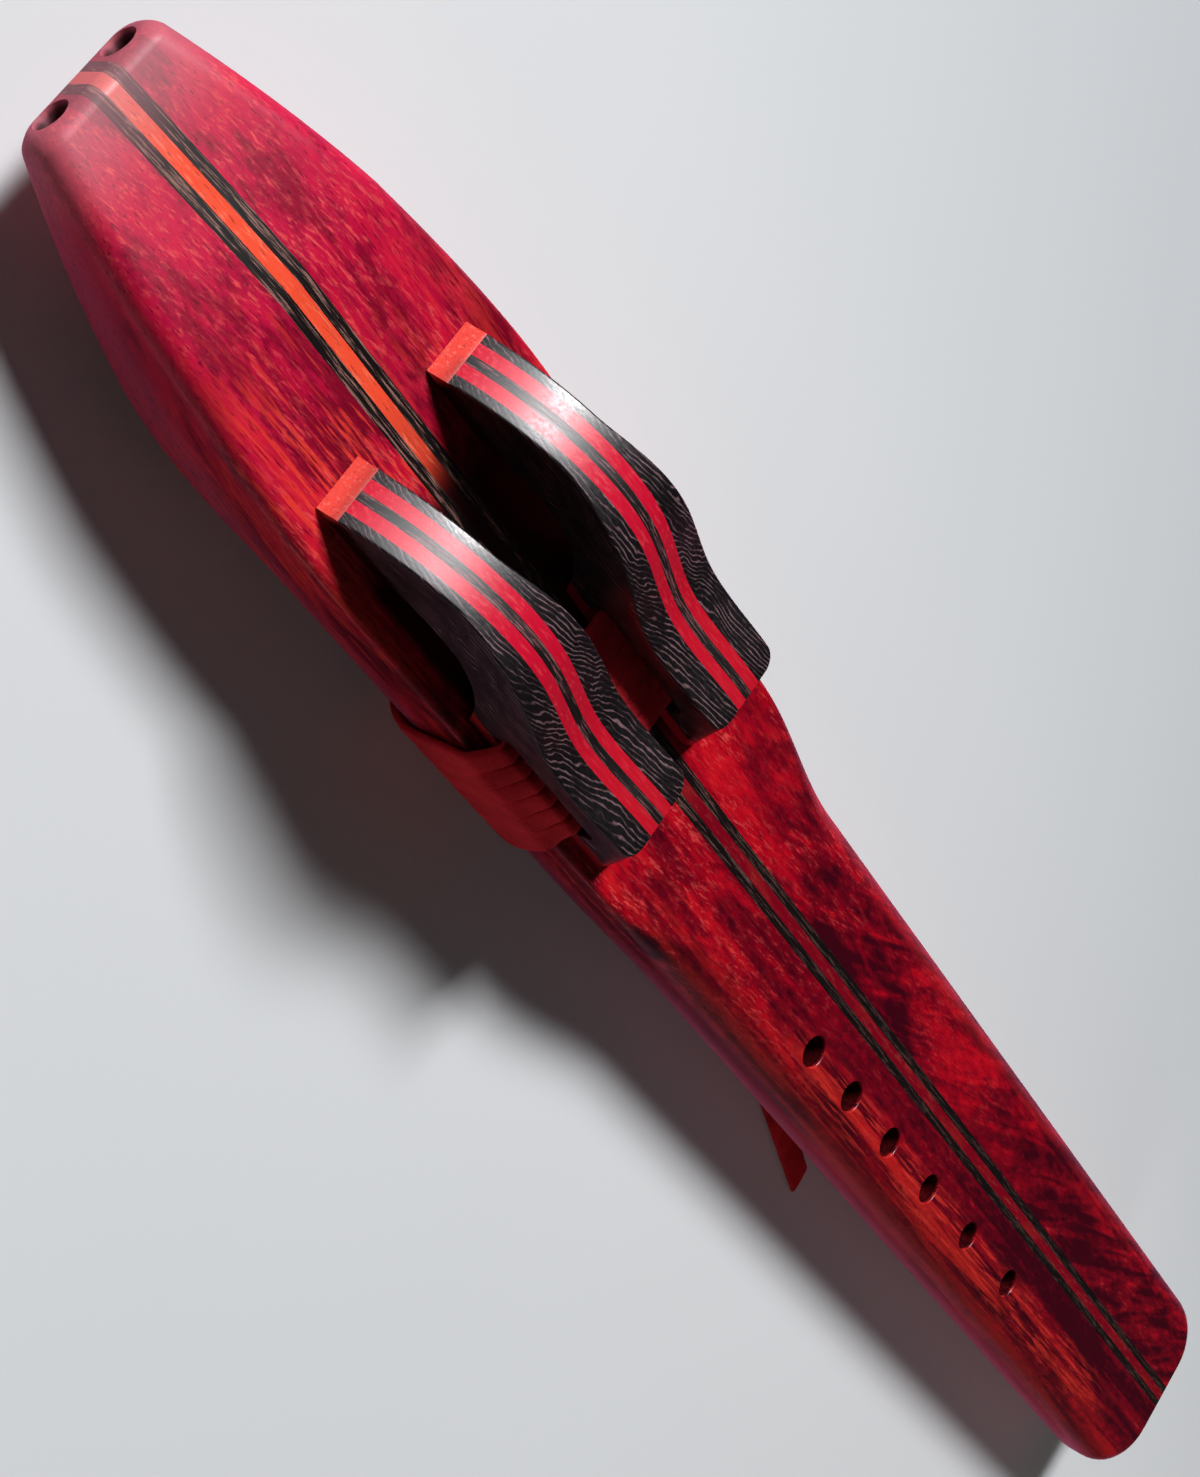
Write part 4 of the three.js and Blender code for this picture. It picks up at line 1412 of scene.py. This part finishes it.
    def grid(self, start: float, stop: float) -> Array:
        """X values of the rings: even, but close at the start, the slot's ends and the tail's corner.

        Args:
            start: first value.
            stop: last value.

        Returns:
            Rising values.
        """
        slot, gap = self.slot_ends, self.slot_gap
        corner = self.slot_corner * (1.0 - np.cos(quarter_turn(8)))
        x = np.concatenate([
            np.linspace(start, stop, int((stop - start) / self.grid_step)),
            start + self.close_run * np.linspace(0.0, 1.0, 12) ** 2,
            slot - gap,
            slot + gap,
            slot[0] + gap + corner,
            slot[1] - gap - corner,
            [self.tail[0], self.hump[0]],
            self.tail[0] - self.tail_corner * (1.0 - np.cos(quarter_turn(10))),
        ])
        return np.unique(np.round(x[(x >= start) & (x <= stop)], 3))

    def side_of_plate(
        self, x: Array, lower: Array, upper: Array, plane: float, inwards: float
    ) -> tuple[Array, Array]:
        """One side of a plate, from its foot up, with a rounded top edge if it is an outside.

        Args:
            x: places of the rings, as a column.
            lower: heights of the underside, as a column.
            upper: heights of the top, as a column.
            plane: Y of the side.
            inwards: radius of the top edge, with the sign of the way in.

        Returns:
            Y and Z of the side, row by row.
        """
        tall = np.maximum(upper - lower, THIN)
        bend = np.minimum(abs(inwards), tall / 3)
        z = lower + (tall - bend) * np.linspace(0.0, 1.0, 9)[None]
        set_in = 0 * z
        if inwards:
            turn = quarter_turn(6)[None, 1:]
            z = np.concatenate([z, upper - bend * (1.0 - np.sin(turn))], axis=1)
            set_in = np.concatenate([set_in, bend * (1.0 - np.cos(turn))], axis=1)
        return self.wall(plane, x, z) + np.sign(inwards) * set_in, z

    def plate(self, x: Array, lower: Array, upper: Array, left: float, right: float, edge: float) -> Shell:
        """Upright plate between two sides, as rings along X.

        Each ring goes along the bottom, up the right side, over its top edge, along the top, over
        the other edge and down the left side.

        Args:
            x: places of the rings.
            lower: heights of the underside.
            upper: heights of the top.
            left: Y of one side, infinite for the outside.
            right: Y of the other side, infinite for the outside.
            edge: radius of the top edges at the outside.

        Returns:
            The closed plate.
        """
        lines = x[:, None], lower[:, None], upper[:, None]
        right_y, right_z = self.side_of_plate(*lines, right, -edge if math.isinf(right) else 0.0)
        left_y, left_z = self.side_of_plate(*lines, left, edge if math.isinf(left) else 0.0)
        y = np.concatenate([right_y, left_y[:, ::-1]], axis=1) + self.side.value * self.offset
        z = np.concatenate([right_z, left_z[:, ::-1]], axis=1) + self.foot_z
        return loft(spread_points(self.toe_x + lines[0], y, z))

    def laminates(self) -> dict[Laminate, Shell]:
        """The five laminates: the block above the pads, sawn along upright planes.

        Returns:
            Shells by laminate.
        """
        x = self.grid(self.toe_run, float(self.end_x(np.array(self.pad))))
        upper = np.maximum(self.upper(x), self.pad)
        lower = np.minimum(self.slot_roof(x, np.maximum(self.under(x), self.pad)), upper - THIN)
        planes = (-math.inf, -self.red_to, -self.middle_half, self.middle_half, self.red_to, math.inf)
        return {
            kind: self.plate(x, lower, upper, left, right, self.edge_round)
            for kind, left, right in zip(Laminate, planes, planes[1:])
        }

    def pads(self) -> dict[str, Shell]:
        """Front and rear pad: the block below the laminates, on either side of the arch.

        Returns:
            Shells by name.
        """
        line = self.arch_line
        crest = int(np.argmax(line[:, 1]))
        front_to = float(np.interp(self.pad, line[: crest + 1, 1], line[: crest + 1, 0]))
        rear_from = float(np.interp(self.pad, line[crest:, 1][::-1], line[crest:, 0][::-1]))
        shells = {}
        ends = {"front_pad": (self.toe_tip, front_to), "rear_pad": (rear_from, self.length)}
        for name, (start, stop) in ends.items():
            x = self.grid(start, stop)
            tail = np.interp(x, [self.tail[0], self.length], [self.tail[1], self.heel])
            upper = np.minimum(np.minimum(self.pad, self.pad * x / self.toe_run), tail)
            lower = np.minimum(self.under(x), upper - THIN)
            shells[name] = self.plate(x, lower, upper, -math.inf, math.inf, 0.0)
        return shells

    def add(self, name: str, shell: Shell, material: bpy.types.Material, slot: Slot) -> None:
        """Make and dress one piece of the block."""
        node = f"{self.side.label}_{name}"
        dress(mesh_object(f"{node}_dressed", shell), material, f"{self.side.label}_block", (node,))

    def build(self, finishes: Finishes) -> None:
        """Make and dress the laminates and the pads.

        Args:
            finishes: the finishes to use.
        """
        for kind, shell in self.laminates().items():
            if kind in (Laminate.LEFT_RED, Laminate.RIGHT_RED):
                self.add(kind.value, shell, finishes.laminate, Slot.BLOCK_RED)
            else:
                dark = finishes.middle_dark if kind is Laminate.MIDDLE else finishes.block_dark
                self.add(kind.value, shell, dark, Slot.DARK_WOOD)
        for name, shell in self.pads().items():
            self.add(name, shell, finishes.pad, Slot.PAD_RED)


@dataclass
class Lace:
    """One suede lace: its turns through both blocks, its knot and its free end."""

    turns: int = 6
    rest: float = 0.15
    thickness: float = 1.5
    slot_width: float = 4.0
    flank_width: float = 7.0
    belly_width: float = 5.6
    pitch: float = 3.9
    fan_pitch: float = 5.2
    fan_shift: float = 2.2
    shingle: float = -1.8
    slot_flatness: float = 0.55
    spread_from: float = 0.5
    spread_to: float = 13.0
    slot_to: float = 4.0
    low_from: float = 6.0
    low_to: float = 20.0
    path_step: float = 1.5
    same_place: float = 1e-4
    middle_x: float = -102.7
    half: float = 24.0
    belly: float = 2.1
    top: float = 27.1
    crease_round: float = 1.0
    belly_round: float = 14.5
    pad_edge: float = 21.0
    pad_top: float = 30.3
    turn_crease: float = 50.0
    knot_at: Triple = (-106.0, 23.17, 3.4)
    knot_size: Triple = (10.0, 4.2, 6.0)
    knot_angle: float = 46.0
    knot_cord: float = 0.62
    knot_crease: float = 60.0
    end_width: float = 6.0
    end_low: float = 0.9
    end_tip: Span = (58.0, -24.4)
    end_slope: float = 0.305
    end_landing: float = -90.0
    end_gap: float = 0.3
    end_drop: float = 1.3
    end_ease: float = 4.0
    tip_slant: float = 1.25
    name: str = "flute_body"

    def turn_line(self) -> tuple[Array, Array, Array]:
        """One turn in Y and Z: arcs about the body's corners and the pads' edges, joined straight.

        Returns:
            Points, outward directions, and the places where each arc ends.
        """
        lean = math.atan2(self.half - self.pad_edge, self.pad_top - self.top)
        crease = (self.half - self.crease_round, self.top - self.crease_round)
        low = (self.half - self.belly_round, self.belly + self.belly_round)
        quarter, half, full = math.pi / 2, math.pi, 2 * math.pi
        arcs = [
            ((*crease, self.crease_round), 0.0, lean, 10),
            ((self.pad_edge, self.pad_top, 0.0), lean, quarter, 10),
            ((-self.pad_edge, self.pad_top, 0.0), quarter, half - lean, 10),
            ((-crease[0], crease[1], self.crease_round), half - lean, half, 10),
            ((-low[0], low[1], self.belly_round), half, half + quarter, 24),
            ((low[0], low[1], self.belly_round), half + quarter, full, 24),
        ]
        points, outs = [], []
        for (y, z, radius), start, stop, steps in arcs:
            turn = np.linspace(start, stop, steps)
            outs.append(np.stack([np.cos(turn), np.sin(turn)], -1))
            points.append(np.array([y, z]) + radius * outs[-1])
        line, out = np.concatenate(points), np.concatenate(outs)
        count = np.maximum(1, (spans(line) / self.path_step).astype(int))
        starts = np.concatenate([[0], np.cumsum(count)])
        index = np.repeat(np.arange(len(count)), count)
        part = ((np.arange(starts[-1]) - starts[index]) / count[index])[:, None]
        dense, normal = (
            np.concatenate([mix(rows[index], rows[index + 1], part), rows[-1:]]) for rows in (line, out)
        )
        return dense, unit(normal), starts[np.cumsum([len(group) for group in points]) - 1]

    def winding(self) -> Shell:
        """Six unbroken turns: bunched in the slots, fanned and lapped like shingles on the flank.

        X eases from the slot's place of a turn to its place in the fan and on to the next turn's
        place in the slot; width and tilt ease with it.

        Returns:
            The closed band.
        """
        line, out, marks = self.turn_line()
        reach = np.concatenate([[0.0], np.cumsum(spans(line))])
        enter, _, leave, flank, belly, end = reach[marks]
        spread = ease(reach, leave + self.spread_from, flank + self.spread_to)
        gather = ease(reach, belly, end)
        slot = ease(reach, 0.0, enter) * (1.0 - ease(reach, leave, flank + self.slot_to))
        low = ease(reach, flank + self.low_from, belly) * (1.0 - ease(reach, belly + self.low_to, end))
        width = mix(mix(self.flank_width, self.slot_width, slot), self.belly_width, low)
        tilt = np.radians(self.shingle) * (1.0 - low) * (1.0 - self.slot_flatness * slot)
        order = np.arange(self.turns)[:, None] - (self.turns - 1) / 2
        in_slot = self.middle_x + order * self.pitch
        in_fan = self.middle_x + self.fan_shift + order * self.fan_pitch
        x = mix(mix(in_slot, in_fan, spread), in_slot + self.pitch, gather)
        lift = self.rest + self.thickness / 2 + width / 2 * np.sin(np.abs(tilt))
        path = spread_points(x, *(line + out * lift[:, None]).T).reshape(-1, 3)
        outwards = spread_points(0 * x, *out.T).reshape(-1, 3)
        keep = np.concatenate([[True], spans(path) > self.same_place])
        width, tilt = (np.tile(values, self.turns)[keep] for values in (width, tilt))
        return band(path[keep], outwards[keep], width, self.thickness, tilt)

    def knot(self) -> Shell:
        """Overhand knot: a round tube along a trefoil curve, pressed flat against the turns.

        The curve is (sin t + 2 sin 2t, -sin 3t, cos t - 2 cos 2t), scaled to the knot's size and
        turned about X to the slope of the turns.

        Returns:
            The closed tube.
        """
        turn = full_turn(160)
        trefoil = np.stack(
            [np.sin(turn) + 2 * np.sin(2 * turn), -np.sin(3 * turn), np.cos(turn) - 2 * np.cos(2 * turn)], -1
        )
        ahead = unit(np.roll(trefoil, -1, 0) - np.roll(trefoil, 1, 0))
        side = unit(np.cross(ahead, np.array([0.0, 1.0, 0.0])))
        over = np.cross(side, ahead)
        around = full_turn(14)[None, :, None]
        cord = side[:, None] * np.cos(around) + over[:, None] * np.sin(around)
        rings = trefoil[:, None] + self.knot_cord * cord
        rings = rings / np.abs(rings).max(axis=(0, 1)) * (np.array(self.knot_size) / 2)
        angle = math.radians(self.knot_angle) - math.pi / 2
        cos, sin = math.cos(angle), math.sin(angle)
        x, y, z = np.moveaxis(rings, -1, 0)
        turned = spread_points(x, y * cos - z * sin, y * sin + z * cos)
        return loft(turned + np.array(self.knot_at), closed_path=True)

    def end_line(self) -> Array:
        """Route of the free end: a falling cubic curve from the knot, then straight along the table.

        Returns:
            Points of the route.
        """
        tip = np.array([*self.end_tip, self.end_low])
        back = self.end_landing - tip[0]
        landing = tip + np.array([back, -self.end_slope * back, 0.0])
        start = np.array(self.knot_at) + np.array([self.knot_size[0] / 2 + self.end_gap, 0.0, -self.end_drop])
        leave = start + np.array([self.end_ease, 0.0, 0.0])
        arrive = landing + np.array([-self.end_ease, self.end_slope * self.end_ease, 0.0])
        fall = bezier([start, leave, arrive, landing], 9)[:-1]
        return np.concatenate([fall, mix(landing, tip, np.linspace(0.0, 1.0, 28)[:, None])])

    def build(self, finishes: Finishes) -> None:
        """Args:
            finishes: the finishes to use.
        """
        route = self.end_line()
        width, level = np.full(len(route), self.end_width), np.zeros(len(route))
        strap = band(route, np.array([0.0, 0.0, 1.0]), width, self.thickness, level, self.tip_slant)
        end = mesh_object("lace_free_end", strap)
        dress(end, finishes.suede, self.name, ("lace_end",))
        turns = mesh_object("lace_turns", self.winding(), self.turn_crease)
        dress(turns, finishes.suede, self.name, ("lace_winding",))
        knot = mesh_object("lace_tie", self.knot(), self.knot_crease)
        dress(knot, finishes.suede, self.name, ("lace_knot",))


@dataclass
class Studio:
    """Camera, pale floor and soft light."""

    camera_at: Triple = (-302.8, -94.45, 241.6)
    right: Triple = (0.46807, 0.55928, 0.68418)
    down: Triple = (0.57828, -0.7793, 0.24141)
    forward: Triple = (0.6682, 0.28265, -0.68819)
    focal_px: float = 1955.17
    image_width_px: float = 1200.0
    sensor: float = 36.0
    clip: Span = (0.01, 50.0)
    floor_size: float = 6.0
    floor_colour: Colour = srgb(220, 223, 226)
    floor_light: float = 1.04
    floor_cloud: Cloud = Cloud((3, 3, 3), 3.0)
    floor_stops: Span = (0.3, 0.7)
    # Painted shade: the floor darkens towards the drone side.
    floor_painted_shade: Colour = srgb(194, 198, 202)
    floor_lean: float = 0.17
    floor_slope: Span = (0.0, 0.26)
    floor_mirrored: Colour = srgb(112, 98, 106)
    floor_rosy: Colour = srgb(180, 104, 138)
    floor_shade: Ramp = (-0.06, -0.04, 1.0, 0.0)
    floor_bounce: Colour = srgb(204, 178, 184)
    floor_fade: Span = (0.32, 0.62)
    black: Colour = srgb(0, 0, 0)
    sky_colour: Colour = srgb(226, 230, 234)
    fill: float = 0.021
    gloss_fill: float = 0.012
    glow_from: Triple = (-0.57, 0.34, 0.75)
    glow: Ramp = (0.81, 0.99, 0.0, 3.8)
    wall_from: Triple = (0.62, -0.7, 0.3)
    wall: Ramp = (0.35, 0.95, 0.0, 0.03)
    light_aim: Triple = (-40.0, 0.0, 20.0)
    light_from: Triple = (-0.465, 0.558, 0.687)
    light_along: Triple = (0.13, 0.23, -0.05)
    light_distance: float = 2.3
    light_size: Span = (0.7, 0.4)
    light_power: float = 67.5
    side_at: Triple = (450.0, -420.0, 130.0)
    side_aim: Triple = (180.0, 0.0, 0.0)
    side_size: Span = (0.25, 0.25)
    side_power: float = 0.6
    side_colour: Triple = (1.0, 0.93, 0.86)

    def camera(self) -> None:
        """Camera at the photograph's place, angle and field of view."""
        data = bpy.data.cameras.new("view_camera")
        data.sensor_fit = "HORIZONTAL"
        data.sensor_width = self.sensor
        data.lens = self.sensor * self.focal_px / self.image_width_px
        data.clip_start, data.clip_end = self.clip
        axes = np.array([self.right, -np.array(self.down), -np.array(self.forward)]).T
        matrix = Matrix(axes.tolist()).to_4x4()
        matrix.translation = Vector(self.camera_at) * MM
        obj = linked("view_camera", data)
        obj.matrix_world = matrix
        bpy.context.scene.camera = obj

    def floor_finish(self) -> bpy.types.Material:
        """Pale matt floor with painted shade towards the drone side, that meets the pale room far away.

        What is mirrored in the flute is darker, rosy on the near side, and what is passed on as
        soft light is a little warm.

        Returns:
            The material.
        """
        bench = MaterialBench("pale_floor")
        light = tuple(min(1.0, value * self.floor_light) for value in self.floor_colour[:3]) + (1.0,)
        stops = list(zip(self.floor_stops, (self.floor_colour, light)))
        pale = bench.ramp(bench.cloud(self.floor_cloud), stops)
        distance = bench.node("VectorMath", "Value", {0: bench.place}, operation="LENGTH")
        far = distance.step(*self.floor_fade)
        away = bench.axis("Y") + bench.axis("X") * self.floor_lean
        # Painted shade towards the drone side.
        near = bench.blend(away.step(*self.floor_slope), pale, self.floor_painted_shade)
        mirrored = bench.blend(bench.axis("Y").step(*self.floor_shade), self.floor_rosy, self.floor_mirrored)
        near = bench.blend(bench.ray(Ray.MIRRORED), near, mirrored)
        near = bench.blend(bench.ray(Ray.PASSED_ON), near, self.floor_bounce)
        return bench.finish({
            "Base Color": bench.blend(far, near, self.black),
            "Roughness": 0.8,
            "Specular IOR Level": 0.2,
            "Emission Color": self.sky_colour,
            "Emission Strength": far * bench.ray(Ray.LOOKED_AT),
        })

    def floor(self) -> None:
        """Square floor under the flute."""
        reach = self.floor_size / 2
        corners = [(-reach, -reach, 0.0), (reach, -reach, 0.0), (reach, reach, 0.0), (-reach, reach, 0.0)]
        mesh = bpy.data.meshes.new("floor")
        mesh.from_pydata(corners, [], [[0, 1, 2, 3]])
        mesh.materials.append(self.floor_finish())
        linked("floor", mesh)

    def lamp(
        self, name: str, at: Vector, back: Vector, along: Vector, size: Span, power: float
    ) -> bpy.types.Object:
        """Soft rectangular lamp.

        Args:
            name: lamp name.
            at: its place in metres.
            back: direction away from what it faces.
            along: direction near its first side.
            size: lengths of its two sides in metres.
            power: power in watts.

        Returns:
            The lamp, linked to the scene.
        """
        data = bpy.data.lights.new(name, "AREA")
        data.shape = "RECTANGLE"
        data.size, data.size_y = size
        data.energy = power
        across = back.cross(along).normalized()
        matrix = Matrix((across.cross(back), across, back)).transposed().to_4x4()
        matrix.translation = at
        obj = linked(name, data)
        obj.matrix_world = matrix
        return obj

    def lamps(self) -> None:
        """Long window from the drone side, and a weak low lamp by the foot on the melody side."""
        back = Vector(self.light_from).normalized()
        place = Vector(self.light_aim) * MM + back * self.light_distance
        self.lamp("window", place, back, Vector(self.light_along), self.light_size, self.light_power)
        side = Vector(self.side_at) * MM
        back = (side - Vector(self.side_aim) * MM).normalized()
        fill = self.lamp("foot_fill", side, back, Vector((0.0, 0.0, 1.0)), self.side_size, self.side_power)
        fill.visible_glossy = False
        fill.data.color = self.side_colour

    def room(self) -> None:
        """Pale surround: bright to the camera, dim as light, with two soft bright cards in reflections."""
        world = bpy.data.worlds.new("pale_room")
        world.use_nodes = True
        bench = NodeBench(world.node_tree, "Generated")
        cards = []
        for towards, reach in ((self.glow_from, self.glow), (self.wall_from, self.wall)):
            inputs = {0: bench.place, 1: Vector(towards).normalized()}
            facing = bench.node("VectorMath", "Value", inputs, operation="DOT_PRODUCT")
            cards.append(facing.step(*reach))
        gloss = cards[0] + cards[1] + self.gloss_fill
        light = bench.choose(bench.ray(Ray.MIRRORED), self.fill, gloss)
        strength = bench.choose(bench.ray(Ray.LOOKED_AT), light, 1.0)
        bench.feed(world.node_tree.nodes["Background"], {"Color": self.sky_colour, "Strength": strength})
        bpy.context.scene.world = world

    def build(self) -> None:
        """Set the stage and the view settings."""
        self.camera()
        self.floor()
        self.room()
        self.lamps()
        bpy.context.scene.view_settings.view_transform = "Standard"


def main() -> None:
    """Build the stage and every piece of the flute."""
    logging.basicConfig(level=logging.INFO, format="%(message)s")
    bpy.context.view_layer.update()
    Studio().build()
    finishes = Finishes()
    Lace().build(finishes)
    FluteBody().build(finishes)
    for side in Side:
        Block(side).build(finishes)
    bpy.context.view_layer.update()


if __name__ == "__main__":
    main()
